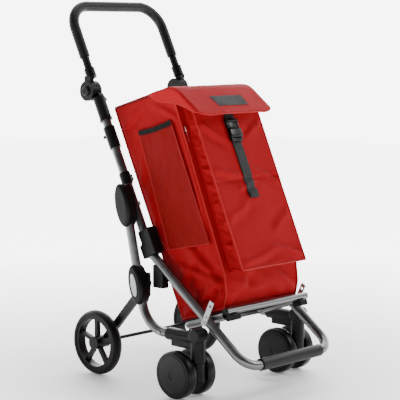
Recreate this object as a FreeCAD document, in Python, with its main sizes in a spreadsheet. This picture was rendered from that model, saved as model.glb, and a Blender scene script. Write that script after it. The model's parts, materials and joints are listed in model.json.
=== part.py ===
"""Folding shopping trolley: a tubular frame on two rear wheels and two twin-wheel castors,
with a fabric bag, a tilting handle and a fold hinge on each side.

Frame: +Z up, the handle is at +Y, the bumper at -Y, X across; origin on the floor, mid-base.
All sizes in millimetres. "left" is the -X side, "right" the +X side.
"""
import FreeCAD, Part
import math
import os
import re
import Sketcher

doc = FreeCAD.newDocument("shopping_trolley")
Vec = FreeCAD.Vector

# ------------------------------------------------------------------ driving sizes
SIZES = {
    # side tubes, uprights and front loop
    "tube_dia": 25.0, "tube_wall": 1.5, "upright_x": 170.0, "tube_gap": 5.0,
    "side_x": "=upright_x + tube_dia + tube_gap",
    "hinge_y": 73.0, "hinge_z": 485.0, "rake": 26.5, "side_lean": 13.4, "low_run_z": 158.0,
    "low_run_y": -128.0, "low_bend": 85.0, "foot_drop": 110.0,
    "front_top_y": 13.0, "front_top_z": 362.0, "bumper_y": -337.7, "bumper_z": 100.0,
    "front_bend": 48.0, "bumper_grip_dia": 32.0, "bumper_grip_len": 236.0,
    # handle
    "handle_rise": 596.7, "handle_tube_dia": 22.0, "grip_dia": 29.0, "handle_bend": 70.0,
    "grip_from": 439.0, "hub_along": 346.0, "hub_back": 21.0, "hub_dia": 55.0, "hub_thick": 16.0,
    "hub_gap": 1.0, "sleeve_dia": 33.0, "sleeve_from": 247.0, "sleeve_to": 316.0,
    "knuckle_dia": 29.0, "knuckle_from": 376.0, "knuckle_to": 404.0,
    "tilt_button_dia": 26.0, "tilt_button_out": 5.0, "button_travel": 3.0, "button_round": 2.0,
    # collars on the uprights
    "slider_dia": 32.0, "slider_from": 165.0, "slider_len": 62.0, "slider_travel": 12.0,
    "collar_dia": 31.0, "collar_from": 58.0, "collar_len": 33.0, "slide_gap": 0.15,
    # covers and pins on the side tubes
    "cover_wide": 52.0, "cover_tall": 118.0, "cover_in": 11.0, "cover_out": 22.0,
    "cover_round": 9.0, "fold_pin_dia": 10.0, "run_gap": 0.05,
    "knee_z": 275.0, "knee_wide": 50.0, "knee_tall": 108.0, "knee_pin_dia": 8.0,
    "plate_wide": 20.0, "plate_tall": 62.0, "plate_thick": 2.0,
    "lug_wide": 36.0, "lug_tall": 64.0, "lug_in": 20.5,
    # rear legs and wheels
    "rear_y": 196.0, "wheel_dia": 180.0, "wheel_in": 2.0, "wheel_width": 30.0, "tyre_depth": 15.0,
    "rim_depth": 9.0, "wheel_hub_dia": 36.0, "wheel_hub_len": 33.0, "spokes": 5, "spoke_wide": 11.0,
    "spoke_thick": 12.0, "axle_dia": 10.0, "leg_wide": 22.0, "leg_thick": 12.0, "leg_in": 28.0,
    "leg_boss_dia": 34.0, "leg_boss_thick": 16.0,
    # castors
    "castor_out": 0.0, "castor_y": -195.0, "castor_trail": 44.0, "castor_dia": 126.0,
    "castor_width": 34.0, "castor_gap": 3.0, "stem_dia": 34.0, "stem_low": 46.0, "stem_seam": 95.0,
    "housing_top": 186.0, "housing_dia": 38.0, "pivot_dia": 12.0, "castor_axle_dia": 8.0,
    "socket_dia": 34.0, "castor_round": 9.0, "pivot_deep": 44.0,
    # platform under the bag
    "deck_back_y": -83.0, "deck_back_z": 180.0, "deck_tilt": 18.4, "deck_deep": 170.0,
    "deck_gap": 0.0, "deck_thick": 4.0, "bar_dia": 18.0, "bar_wall": 1.5, "corner_size": 30.0,
    # bag
    "bag_half": 142.0, "bag_wall": 3.0, "bag_top_back_y": 181.0, "bag_top_back_z": 737.0,
    "ridge_y": -42.0, "ridge_z": 797.0, "belly_y": -237.0, "belly_z": 328.0,
    "pocket_half": 126.0, "pocket_low_z": 339.0, "pocket_top_z": 744.0, "pocket_deep_low": 51.0,
    "pocket_deep_top": 38.0,
    "flap_half": 134.0, "flap_wall": 3.0, "flap_gap": 3.0, "flap_front_y": -149.0,
    "flap_front_z": 731.0, "side_gap": 5.5, "side_wall": 2.0,
    "strap_wide": 40.0, "strap_thick": 2.0, "buckle_wide": 46.0, "buckle_thick": 13.0,
    "buckle_len": 62.0, "tail_len": 160.0,
    # small plates, blocks and rivets
    "hook_long": 72.0, "hook_wide": 15.0, "hook_thick": 2.5, "hook_hole": 8.0, "hook_lean": -26.0,
    "hook_y": -213.0, "hook_z": 225.0, "rivet_dia": 7.0, "rivet_high": 2.5,
    "catch_y": -27.0, "catch_z": 299.0, "catch_wide": 24.0, "catch_deep": 38.0, "catch_tall": 62.0,
    "cheek": 4.5, "cradle_tall": 32.0, "cradle_front": 34.0, "cradle_back": 8.0, "saddle_low": 38.0,
}

sheet = doc.addObject("Spreadsheet::Sheet", "Sizes")
for row, (alias, value) in enumerate(SIZES.items(), start=1):
    sheet.set("A%d" % row, alias)
    sheet.set("B%d" % row, str(value))
    sheet.setAlias("B%d" % row, alias)
doc.recompute()


class Size:
    """Reads a driving size from the sheet, so that code and formulas share one value."""

    def __getattr__(self, alias):
        return float(sheet.get(alias))


size = Size()
NODES = []
castor_x = size.side_x + size.castor_out
wheel_x = size.side_x - size.wheel_in
leg_x = size.side_x - size.leg_in


def bind(formula):
    """Turns a formula in the sheet's aliases into one that any object can hold."""
    return re.sub(r"[a-z][a-z_]*", lambda m: "Sizes." + m[0] if m[0] in SIZES else m[0], formula)


def node(obj, label, place=None):
    """Marks an object as one exported sub-part."""
    obj.Label = label
    if place is not None:
        obj.Placement = place
    NODES.append(obj)
    return obj


def placed(obj, place):
    """Moves a finished piece to its place."""
    obj.Placement = place
    return obj


# ------------------------------------------------------------------ places
def frame_place(origin, x_dir, y_dir):
    """Placement whose local X and Y point along the given unit directions."""
    z_dir = x_dir.cross(y_dir)
    matrix = FreeCAD.Matrix(x_dir.x, y_dir.x, z_dir.x, origin.x,
                            x_dir.y, y_dir.y, z_dir.y, origin.y,
                            x_dir.z, y_dir.z, z_dir.z, origin.z, 0, 0, 0, 1)
    return FreeCAD.Placement(matrix)


def lean(angle):
    """Unit direction that leans back from straight up by an angle in degrees."""
    return Vec(0, math.sin(math.radians(angle)), math.cos(math.radians(angle)))


def side_place(sign, y, z, angle=0.0, x=0.0):
    """Local Z points outboard on that side, local Y up along the lean."""
    up = lean(angle)
    out = Vec(sign, 0, 0)
    return frame_place(Vec(sign * x, y, z), up.cross(out), up)


def along(distance, back=0.0):
    """Point (y, z) on the uprights' line, measured from the fold hinge."""
    up = lean(size.rake)
    return (size.hinge_y + distance * up.y + back * up.z, size.hinge_z + distance * up.z - back * up.y)


def upright_place(sign, distance, back=0.0, x=None):
    """Local Y runs up the upright, local Z outboard, from a point along it."""
    y, z = along(distance, back)
    return side_place(sign, y, z, size.rake, size.upright_x if x is None else x)


# ------------------------------------------------------------------ sketch and body helpers
def new_body(label, place):
    """Empty body that is one exported sub-part."""
    return node(doc.addObject("PartDesign::Body", label), label, place)


def pair_body(label, place):
    """Empty body that is one of a pair, exported together later."""
    return placed(doc.addObject("PartDesign::Body", label), place)


def plane_sketch(body, role, offset=0.0):
    """Sketch on one of the body's own origin planes, moved along its normal."""
    sketch = body.newObject("Sketcher::SketchObject", "outline")
    plane = [f for f in body.Origin.OriginFeatures if f.Role == role][0]
    sketch.AttachmentSupport = [(plane, "")]
    sketch.MapMode = "FlatFace"
    sketch.AttachmentOffset = FreeCAD.Placement(Vec(0, 0, offset), FreeCAD.Rotation())
    return sketch


def circle(sketch, dia, x=0.0, y=0.0):
    """Circle whose diameter follows a formula of the sheet."""
    index = sketch.addGeometry(Part.Circle(Vec(x, y, 0), Vec(0, 0, 1), 1.0), False)
    held = sketch.addConstraint(Sketcher.Constraint("Diameter", index, 2.0))
    sketch.setExpression("Constraints[%d]" % held, bind(dia))
    sketch.addConstraint(Sketcher.Constraint("DistanceX", -1, 1, index, 3, x))
    sketch.addConstraint(Sketcher.Constraint("DistanceY", -1, 1, index, 3, y))
    return index


def polygon(sketch, points):
    """Closed outline through the points."""
    for start, end in zip(points, points[1:] + points[:1]):
        sketch.addGeometry(Part.LineSegment(Vec(*start, 0), Vec(*end, 0)), False)


def slot(sketch, half_len, half_wide, x=0.0, y=0.0):
    """Upright oval: two straight sides joined by half circles."""
    top, low = y + half_len - half_wide, y - half_len + half_wide
    sketch.addGeometry(Part.LineSegment(Vec(x + half_wide, low, 0), Vec(x + half_wide, top, 0)), False)
    sketch.addGeometry(Part.Arc(Vec(x + half_wide, top, 0), Vec(x, top + half_wide, 0),
                                Vec(x - half_wide, top, 0)), False)
    sketch.addGeometry(Part.LineSegment(Vec(x - half_wide, top, 0), Vec(x - half_wide, low, 0)), False)
    sketch.addGeometry(Part.Arc(Vec(x - half_wide, low, 0), Vec(x, low - half_wide, 0),
                                Vec(x + half_wide, low, 0)), False)


def ellipse(sketch, tall, wide):
    """Upright ellipse, taller than it is wide."""
    sketch.addGeometry(Part.Ellipse(Vec(0, tall / 2, 0), Vec(wide / 2, 0, 0), Vec(0, 0, 0)), False)


def feature(body, kind, sketch, reverse=False, **formulas):
    """Adds a sketch-based feature whose sizes follow formulas of the sheet."""
    made = body.newObject("PartDesign::" + kind, kind.lower())
    made.Profile = sketch
    if kind in ("Pad", "Pocket"):
        made.Reversed = reverse
    for prop, formula in formulas.items():
        made.setExpression(prop, bind(formula))
    return made


def cut_through(body, sketch):
    """Pocket through everything, both ways from its sketch."""
    made = body.newObject("PartDesign::Pocket", "pocket")
    made.Profile = sketch
    made.Type = 1
    made.Midplane = True
    return made


def revolve(body, sketch):
    """Full turn of the sketch about its upright axis."""
    made = body.newObject("PartDesign::Revolution", "revolution")
    made.Profile = sketch
    made.ReferenceAxis = (sketch, ["V_Axis"])
    made.Angle = 360
    return made


def round_bar(label, outer, inner, length, place):
    """Straight hollow or solid round piece along local Y."""
    body = new_body(label, place)
    sketch = plane_sketch(body, "XZ_Plane")
    circle(sketch, outer)
    if inner:
        circle(sketch, inner)
    feature(body, "Pad", sketch, reverse=True, Length=length)
    return body


def round_top_edge(body, pad, radius):
    """Fillet on the edge of a pad that lies furthest along local Z."""
    doc.recompute()
    edges = pad.Shape.Edges
    top = max(range(len(edges)), key=lambda i: edges[i].CenterOfMass.z)
    rounded = body.newObject("PartDesign::Fillet", "fillet")
    rounded.Base = (pad, ["Edge%d" % (top + 1)])
    rounded.setExpression("Radius", bind(radius))


def bent_tube(label, points, bend, outer, inner):
    """Hollow tube along straight runs in one plane, each corner bent to one radius."""
    x_dir = (points[1] - points[0]).normalize()
    z_dir = x_dir.cross(points[2] - points[1]).normalize()
    y_dir = z_dir.cross(x_dir)
    body = new_body(label, frame_place(points[0], x_dir, y_dir))
    flat = [Vec((p - points[0]).dot(x_dir), (p - points[0]).dot(y_dir), 0) for p in points]
    path = plane_sketch(body, "XY_Plane")
    at = flat[0]
    for before, corner, after in zip(flat, flat[1:], flat[2:]):
        to_start = (before - corner).normalize()
        to_end = (after - corner).normalize()
        half = to_start.getAngle(to_end) / 2
        reach = bend / math.tan(half)
        start, end = corner + to_start * reach, corner + to_end * reach
        bisector = (to_start + to_end).normalize()
        middle = corner + bisector * (bend / math.sin(half) - bend)
        path.addGeometry(Part.LineSegment(at, start), False)
        path.addGeometry(Part.Arc(start, middle, end), False)
        at = end
    path.addGeometry(Part.LineSegment(at, flat[-1]), False)
    section = plane_sketch(body, "YZ_Plane")
    circle(section, outer)
    circle(section, inner)
    doc.recompute()
    pipe = body.newObject("PartDesign::AdditivePipe", "pipe")
    pipe.Profile = section
    pipe.Spine = (path, ["Edge%d" % (i + 1) for i in range(len(path.Shape.Edges))])
    pipe.Mode = 0
    return body


# ------------------------------------------------------------------ primitive helpers
def cylinder(name, dia, length, place):
    """Solid round along local Z."""
    made = doc.addObject("Part::Cylinder", name)
    made.setExpression("Radius", bind("(%s) / 2" % dia))
    made.setExpression("Height", bind(length))
    made.Placement = place
    return made


def box(name, long, wide, tall, place):
    """Solid block from its lowest corner."""
    made = doc.addObject("Part::Box", name)
    for prop, formula in (("Length", long), ("Width", wide), ("Height", tall)):
        made.setExpression(prop, bind(formula))
    made.Placement = place
    return made


def fuse(name, pieces):
    """Union of pieces, or a group where they lie apart."""
    made = doc.addObject("Part::MultiFuse", name)
    made.Shapes = pieces
    made.Refine = True
    return made


def cut(name, base, tools):
    """Base with the tools taken away."""
    made = doc.addObject("Part::Cut", name)
    made.Base = base
    made.Tool = tools[0] if len(tools) == 1 else fuse(name + "_tools", tools)
    made.Refine = True
    return made


def at(x, y, z, axis=None, angle=0.0):
    """Placement at a point, turned about an axis."""
    return FreeCAD.Placement(Vec(x, y, z), FreeCAD.Rotation(axis or Vec(0, 0, 1), angle))


ALONG_X = (Vec(0, 1, 0), 90)
ALONG_Y = (Vec(1, 0, 0), -90)
SIDES = (("left", -1), ("right", 1))
hinge = Vec(0, size.hinge_y, size.hinge_z)

# ------------------------------------------------------------------ fixed frame
def front_point(sign, down):
    """Point on the front loop's side tube, measured down from its top end."""
    top = Vec(sign * size.upright_x, size.front_top_y, size.front_top_z)
    low = Vec(sign * size.upright_x, size.bumper_y, size.bumper_z)
    return top + (low - top).normalize() * down


front_length = front_point(1, 0).distanceToPoint(Vec(size.upright_x, size.bumper_y, size.bumper_z))
loop = [front_point(-1, 0), front_point(-1, front_length), front_point(1, front_length), front_point(1, 0)]
bent_tube("front_loop", loop, size.front_bend, "tube_dia", "tube_dia - 2 * tube_wall")
grip_start = Vec(-size.bumper_grip_len / 2, size.bumper_y, size.bumper_z)
round_bar("bumper_grip", "bumper_grip_dia", "tube_dia", "bumper_grip_len",
         frame_place(grip_start, Vec(0, 1, 0), Vec(1, 0, 0)))

front_lean = math.degrees(math.atan2(size.front_top_y - size.bumper_y, size.front_top_z - size.bumper_z))
SIDE_ABOVE = 32.0
side_up = lean(size.side_lean)
knee_down = (size.hinge_z - size.knee_z) / side_up.z
knee_y = size.hinge_y - knee_down * side_up.y
corner_down = (size.hinge_z - size.low_run_z) / side_up.z

for side, sign in SIDES:
    top = Vec(sign * size.side_x, 0, 0) + hinge
    turn = top - side_up * corner_down
    run_end = Vec(turn.x, size.low_run_y, size.low_run_z)
    tube = bent_tube("side_tube_" + side, [top + side_up * SIDE_ABOVE, turn, run_end], size.low_bend,
                     "tube_dia", "tube_dia - 2 * tube_wall")
    holes = plane_sketch(tube, "XY_Plane")
    circle(holes, "fold_pin_dia", SIDE_ABOVE)
    circle(holes, "knee_pin_dia", SIDE_ABOVE + knee_down)
    cut_through(tube, holes)


def oval_cover(label, sign, y, z, wide, tall):
    """Domed oval housing over a side tube, with the channel that the tube lies in."""
    body = new_body(label, side_place(sign, y, z, size.side_lean, size.side_x))
    outline = plane_sketch(body, "XY_Plane", -size.cover_in)
    ellipse(outline, tall, wide)
    pad = feature(body, "Pad", outline, Length="cover_out + cover_in")
    round_top_edge(body, pad, "cover_round")
    channel = plane_sketch(body, "XZ_Plane")
    circle(channel, "tube_dia")
    made = feature(body, "Pocket", channel)
    made.Type = 1
    made.Midplane = True
    return body


LUG_BACK = 13.0
plates, lugs = [], []
for side, sign in SIDES:
    oval_cover("fold_cover_" + side, sign, size.hinge_y, size.hinge_z, size.cover_wide, size.cover_tall)
    oval_cover("knee_cover_" + side, sign, knee_y, size.knee_z, size.knee_wide, size.knee_tall)
    plate = pair_body("plate_" + side, side_place(sign, knee_y, size.knee_z, size.side_lean,
                                                size.side_x + size.cover_out))
    outline = plane_sketch(plate, "XY_Plane")
    ellipse(outline, size.plate_tall, size.plate_wide)
    feature(plate, "Pad", outline, Length="plate_thick")
    plates.append(plate)

    lug = pair_body("lug_" + side, side_place(sign, knee_y, size.knee_z, 0, size.side_x - size.lug_in))
    outline = plane_sketch(lug, "XY_Plane")
    back, front, tall = sign * LUG_BACK, sign * (LUG_BACK - size.lug_wide), size.lug_tall / 2
    polygon(outline, [(back, -tall), (front, -tall), (front, tall), (back, tall)])
    feature(lug, "Pad", outline, Length="lug_in - tube_dia / 2")
    hole = plane_sketch(lug, "XY_Plane")
    circle(hole, "knee_pin_dia")
    cut_through(lug, hole)
    lugs.append(lug)
node(fuse("knee_plates", plates), "knee_plates")
node(fuse("knee_lugs", lugs), "knee_lugs")

PIN_HEAD_THICK, PIN_HEAD_MORE, PIN_IN_TUBE, PIN_OUT = 2.5, 6.0, 11.0, 3.0


def pins(label, y, z, dia, from_x):
    """One headed pin per side, across from inside the moving piece into the side tube."""
    solids = []
    for side, sign in SIDES:
        place = side_place(sign, y, z, 0, from_x)
        solids.append(cylinder(label + "_shank", dia, "side_x + %s - %s" % (PIN_IN_TUBE, from_x), place))
        solids.append(cylinder(label + "_head", "%s + %s" % (dia, PIN_HEAD_MORE), str(PIN_HEAD_THICK), place))
    return node(fuse(label, solids), label)


pins("fold_pins", size.hinge_y, size.hinge_z, "fold_pin_dia", size.upright_x - size.tube_dia / 2 - PIN_OUT)
pins("knee_pins", knee_y, size.knee_z, "knee_pin_dia",
     leg_x - size.leg_thick / 2 - PIN_OUT)


def loop_tube_room(sign, length):
    """Solid of the front loop's side tube, to cut its seat out of a block."""
    top = front_point(sign, 0)
    down = (front_point(sign, 1) - top).normalize()
    return cylinder("loop_room", "tube_dia", str(length),
                    FreeCAD.Placement(top, FreeCAD.Rotation(Vec(0, 0, 1), down)))


# Block on top of the front loop: a socket for the loop and an open cradle for the upright's foot.
SOCKET_BACK, FLOOR, LOOP_SEAT = 18.0, 4.0, 120.0
foot = -size.foot_drop
half = size.tube_dia / 2 + size.cheek
side_room = 2 * size.slide_gap
wide = "tube_dia + 2 * cheek"
catches = []
for side, sign in SIDES:
    def span(forward, back):
        """Local X where a block starts that runs from forward to back of the upright."""
        return min(-sign * forward, sign * back)

    cradle = box("cradle", "cradle_front + cradle_back", "cradle_tall + %s" % FLOOR, wide,
                 at(span(size.cradle_front, size.cradle_back), foot - FLOOR, -half))
    base = box("cradle_base", "cradle_front + %s" % SOCKET_BACK, "saddle_low", wide,
               at(span(size.cradle_front, SOCKET_BACK), foot - FLOOR - size.saddle_low, -half))
    foot_room = cylinder("foot_room", "tube_dia + 4 * slide_gap", "cradle_tall + %s" % FLOOR,
                         at(0, foot, 0, *ALONG_Y))
    way_out = box("way_out", "tube_dia", "cradle_tall + %s" % FLOOR, "tube_dia + 4 * slide_gap",
                  at(span(0, size.tube_dia), foot, -size.tube_dia / 2 - side_room))
    block = cut("saddle", fuse("saddle_stock", [cradle, base]), [foot_room, way_out])
    placed(block, upright_place(sign, 0))
    node(cut("saddle_block_" + side, block, [loop_tube_room(sign, LOOP_SEAT)]), "saddle_block_" + side)

    stock = box("catch_stock", "catch_wide", "catch_deep", "catch_tall",
                at(sign * size.upright_x - size.catch_wide / 2, size.catch_y - size.catch_deep / 2,
                   size.catch_z - size.catch_tall / 2))
    catches.append(cut("catch", stock, [loop_tube_room(sign, front_length)]))
node(fuse("frame_catches", catches), "frame_catches")

# Hook plates on the outside of the front loop, each held by two rivets, and the castor arms' rivets.
EYE_FROM_END, RIVETS_FROM_END = 14.0, (9.0, 25.0)
ARM_RIVET_Y, ARM_RIVET_DIA = -64.0, 8.0
hooks, rivets = [], []
for side, sign in SIDES:
    outside = size.upright_x + size.tube_dia / 2
    strip = box("hook_strip", "hook_wide", "hook_long", "hook_thick",
                at(-size.hook_wide / 2, -size.hook_long / 2, 0))
    eye = cylinder("hook_eye", "hook_hole", "3 * hook_thick",
                   at(0, size.hook_long / 2 - EYE_FROM_END, -size.hook_thick))
    hooks.append(placed(cut("hook", strip, [eye]),
                        side_place(sign, size.hook_y, size.hook_z, size.hook_lean, outside)))
    for from_end in RIVETS_FROM_END:
        spot = Vec(0, size.hook_y, size.hook_z) + lean(size.hook_lean) * (from_end - size.hook_long / 2)
        rivets.append(cylinder("rivet", "rivet_dia", "rivet_high",
                               side_place(sign, spot.y, spot.z, 0, outside + size.hook_thick)))
    rivets.append(cylinder("arm_rivet", str(ARM_RIVET_DIA), "rivet_high",
                           side_place(sign, ARM_RIVET_Y, size.low_run_z, 0,
                                      size.side_x + size.tube_dia / 2)))
node(fuse("hook_plates", hooks), "hook_plates")
node(fuse("frame_rivets", rivets), "frame_rivets")

# Castor housings: a socket for the side tube, an arm and the upright bearing of the stem.
SEAM, SOCKET_OVER, ARM_DROP, ARM_TALL, BOSS_FORWARD = 0.5, 42.0, 28.0, 24.0, 2.0
socket_len = size.low_run_y - size.castor_y + SOCKET_OVER
arm_len = socket_len - 22.0
for side, sign in SIDES:
    rearward = (Vec(0, 1, 0), 90 * sign)
    bearing = cylinder("bearing", "housing_dia", "housing_top - stem_seam - %s" % SEAM,
                       at(0, size.stem_seam + SEAM, 0, *ALONG_Y))
    socket = cylinder("socket", "socket_dia", str(socket_len), at(0, size.low_run_z, 0, *rearward))
    boss_up = size.housing_top - size.housing_dia / 2
    boss = cylinder("boss", "housing_dia", "socket_dia + 4",
                    at(-sign * BOSS_FORWARD, boss_up, -size.socket_dia / 2 - 2))
    arm = box("arm", str(arm_len), str(ARM_TALL), "socket_dia - 6",
              at(min(0, sign * arm_len), size.low_run_z - ARM_DROP, 3 - size.socket_dia / 2))
    tube_room = cylinder("tube_room", "tube_dia", str(2 * socket_len),
                         at(sign * (size.low_run_y - size.castor_y), size.low_run_z, 0, *rearward))
    pivot_room = cylinder("pivot_room", "pivot_dia + 2 * run_gap", "pivot_deep + 1",
                          at(0, size.stem_seam, 0, *ALONG_Y))
    housing = cut("housing", fuse("housing_whole", [bearing, socket, boss, arm]), [tube_room, pivot_room])
    node(housing, "castor_housing_" + side, side_place(sign, size.castor_y, 0, 0, castor_x))

# ------------------------------------------------------------------ platform under the bag
deck_forward = Vec(0, -math.cos(math.radians(size.deck_tilt)), math.sin(math.radians(size.deck_tilt)))
deck_up = Vec(0, math.sin(math.radians(size.deck_tilt)), math.cos(math.radians(size.deck_tilt)))


def deck_point(x, forward, height):
    """Point across, forward along the deck and above it."""
    back = Vec(x, size.deck_back_y, size.deck_back_z)
    return back + deck_forward * forward + deck_up * height


def deck_place(x, forward, height):
    """Local X across, local Y forward along the deck, local Z below it."""
    return frame_place(deck_point(x, forward, height), Vec(1, 0, 0), deck_forward)


bar_low = -size.deck_thick - size.bar_dia / 2
bar_end = size.deck_deep - 8
deck_half = size.upright_x - size.tube_dia / 2 - size.bar_dia / 2 - size.deck_gap
ring = [deck_point(-deck_half, bar_end, bar_low), deck_point(-deck_half, 12, bar_low),
        deck_point(deck_half, 12, bar_low), deck_point(deck_half, bar_end, bar_low)]
bent_tube("platform_loop", ring, 22.0, "bar_dia", "bar_dia - 2 * bar_wall")
FRONT_BAR_DOWN = 5.0
bar_half = size.upright_x - size.tube_dia / 2
round_bar("platform_bar", "bar_dia", "bar_dia - 2 * bar_wall", "2 * upright_x - tube_dia",
         frame_place(deck_point(-bar_half, size.deck_deep + size.bar_dia / 2, -FRONT_BAR_DOWN),
                     Vec(0, 1, 0), Vec(1, 0, 0)))
deck = new_body("platform_deck", deck_place(0, 0, 0))
outline = plane_sketch(deck, "XY_Plane")
polygon(outline, [(-deck_half, 2), (deck_half, 2), (deck_half, size.deck_deep - 1),
                  (-deck_half, size.deck_deep - 1)])
feature(deck, "Pad", outline, Length="deck_thick")
corner_top = FRONT_BAR_DOWN + size.bar_dia / 2
corners = [box("corner", "corner_size", "corner_size", "16", deck_place(low_x, bar_end, -corner_top))
           for low_x in (-deck_half, deck_half - size.corner_size)]
node(fuse("platform_corners", corners), "platform_corners")


# ------------------------------------------------------------------ bag
def belly(z, out=0.0):
    """Y of the bag's front plane at a height, moved outwards by a distance along Y."""
    slope = (size.ridge_y - size.belly_y) / (size.ridge_z - size.belly_z)
    return size.belly_y + slope * (z - size.belly_z) - out


def inset(points, wall):
    """The outline moved inwards by the wall all round."""
    moved = []
    for before, here, after in zip(points[-1:] + points[:-1], points, points[1:] + points[:1]):
        first = Vec(here[0] - before[0], here[1] - before[1], 0).normalize()
        second = Vec(after[0] - here[0], after[1] - here[1], 0).normalize()
        spread = math.radians(180) - first.getAngle(second)
        bisector = (second - first).normalize()
        reach = wall / math.sin(spread / 2)
        moved.append((here[0] + bisector.x * reach, here[1] + bisector.y * reach))
    return moved


def side_profile_body(label, outer, half, x_mid=0.0):
    """Slab across X from an outline given in Y and Z."""
    body = new_body(label, FreeCAD.Placement(Vec(x_mid, 0, 0), FreeCAD.Rotation()))
    outline = plane_sketch(body, "YZ_Plane")
    polygon(outline, outer)
    pad = feature(body, "Pad", outline, Length="2 * (%s)" % half)
    pad.Midplane = True
    return body


def hollow(body, inner, half, offset=0.0):
    """Takes the room inside an outline out of a slab."""
    outline = plane_sketch(body, "YZ_Plane", offset)
    polygon(outline, inner)
    room = feature(body, "Pocket", outline, Length="2 * (%s)" % half)
    room.Midplane = True
    return room


def stretch(points, first, second, by):
    """Moves two neighbouring points away from their far ends, to open an outline's side."""
    moved = list(points)
    for here, far in ((first, (first - 1) % len(points)), (second, (second + 1) % len(points))):
        away = Vec(points[here][0] - points[far][0], points[here][1] - points[far][1], 0).normalize()
        moved[here] = (points[here][0] + away.x * by, points[here][1] + away.y * by)
    return moved


bag_front_low = (size.deck_back_y - 151.0, size.deck_back_z + 151.0 * math.tan(math.radians(size.deck_tilt)))
bag_outline = [(size.deck_back_y, size.deck_back_z), (size.bag_top_back_y, size.bag_top_back_z),
               (size.ridge_y, size.ridge_z), (size.belly_y, size.belly_z),
               (size.belly_y - 6, size.belly_z - 53), bag_front_low]
bag = side_profile_body("bag_body", bag_outline, "bag_half")
hollow(bag, stretch(inset(bag_outline, size.bag_wall), 1, 2, 30.0), "bag_half - bag_wall")

pocket_outline = [(belly(size.pocket_top_z + 6), size.pocket_top_z + 6),
                  (belly(size.pocket_top_z, size.pocket_deep_top), size.pocket_top_z),
                  (belly(size.pocket_low_z, size.pocket_deep_low), size.pocket_low_z),
                  (belly(size.pocket_low_z - 11), size.pocket_low_z - 11)]
pocket = side_profile_body("front_pocket", pocket_outline, "pocket_half")
hollow(pocket, stretch(inset(pocket_outline, size.bag_wall), 3, 0, 30.0), "pocket_half - bag_wall")

net_outline = [(79.0, 681.0), (-42.0, 716.0), (-184.0, 401.0), (-37.0, 369.0)]
net_deep = size.side_gap + size.side_wall
net = side_profile_body("side_pocket", net_outline, "(side_gap + side_wall) / 2",
                        -size.bag_half - net_deep / 2)
hollow(net, stretch(inset(net_outline, size.side_wall), 0, 1, 30.0), "side_gap / 2", size.side_wall / 2)

flap_low = [(size.bag_top_back_y + 3, size.bag_top_back_z + size.flap_gap),
            (size.ridge_y - 5, size.ridge_z + size.flap_gap + 4), (size.flap_front_y, size.flap_front_z)]
flap_out = Vec(flap_low[2][0] - flap_low[1][0], flap_low[2][1] - flap_low[1][1], 0).normalize()
flap_high = [(flap_low[0][0], flap_low[0][1] + size.flap_wall),
             (flap_low[1][0] - 1, flap_low[1][1] + size.flap_wall),
             (flap_low[2][0] + flap_out.y * size.flap_wall, flap_low[2][1] - flap_out.x * size.flap_wall)]
side_profile_body("flap", flap_low + flap_high[::-1], "flap_half")

# Webbing and side-release buckle on the pocket's front.
pocket_top = Vec(0, pocket_outline[1][0], pocket_outline[1][1])
pocket_low = Vec(0, pocket_outline[2][0], pocket_outline[2][1])
strap_up = (pocket_top - pocket_low).normalize()
BUCKLE_FROM_TOP, HALF_GAP, OFF = 34.0, 0.4, 0.6


def strap_place(across, up):
    """Local X across, local Y up the pocket's front, local Z away from it."""
    return frame_place(pocket_top - strap_up * BUCKLE_FROM_TOP + strap_up * up + Vec(across, 0, 0),
                       Vec(1, 0, 0), strap_up)


def strap_piece(name, wide, low, high, off, thick):
    """Flat piece between two heights up the pocket's front, a distance off it."""
    return box(name, wide, str(high - low), thick,
               strap_place(0, 0).multiply(at(-getattr(size, wide) / 2, low, off)))


lower = size.buckle_len * 0.55
node(strap_piece("buckle_lower", "buckle_wide", -size.buckle_len, -lower + 6, OFF, "buckle_thick"),
     "buckle_lower")
node(strap_piece("buckle_upper", "buckle_wide", -lower + 6 + HALF_GAP, 0, OFF, "buckle_thick"),
     "buckle_upper")
node(strap_piece("strap_upper", "strap_wide", HALF_GAP, 46, 5, "strap_thick"), "strap_upper")
node(strap_piece("strap_tail", "strap_wide", -size.buckle_len - size.tail_len,
                 -size.buckle_len - HALF_GAP, 1.5, "strap_thick"), "strap_tail")

# Zip slider and its pull, at the bag's left front edge.
zip_up = Vec(0, belly(1.0) - belly(0.0), 1.0).normalize()
zip_top = Vec(-(size.bag_half + size.pocket_half) / 2, belly(698.0), 698.0)
zip_place = frame_place(zip_top, Vec(1, 0, 0), zip_up)
node(box("zip_slider", "9", "14", "4", zip_place.multiply(at(-4.5, -14, 0.5))), "zip_slider")
pull = box("pull_tab", "8", "26", "1.6", zip_place.multiply(at(-4, -41, 1.6)))
pull_eye = cylinder("pull_eye", "4", "4", zip_place.multiply(at(0, -36, 0)))
node(cut("zip_pull", pull, [pull_eye]), "zip_pull")

# ------------------------------------------------------------------ uprights and their collars
SLEEVE_GRIPS, RIM_MORE, RIM_TALL = 60.0, 3.0, 5.0
LUG_WIDE, LUG_TALL, LUG_FROM, LUG_CLEAR = 16.0, 18.0, 7.0, 1.0
TAB_LONG, TAB_TALL, TAB_WIDE, TAB_UP = 14.0, 7.0, 12.0, 0.62
BUTTON_PLAY = 0.4
half_ear = size.hub_thick + size.hub_gap / 2
recess_low = half_ear - size.tilt_button_out - size.button_travel


def flat_link(name, start, end, wide, low, thick):
    """Flat bar of a width and thickness between two points of the side plane."""
    run = Vec(end[0] - start[0], end[1] - start[1], 0)
    turn = math.degrees(math.atan2(run.y, run.x))
    across = Vec(-run.y, run.x, 0).normalize() * (wide / 2)
    place = at(start[0] - across.x, start[1] - across.y, low, Vec(0, 0, 1), turn)
    return box(name, str(run.Length), str(wide), thick, place)


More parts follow.
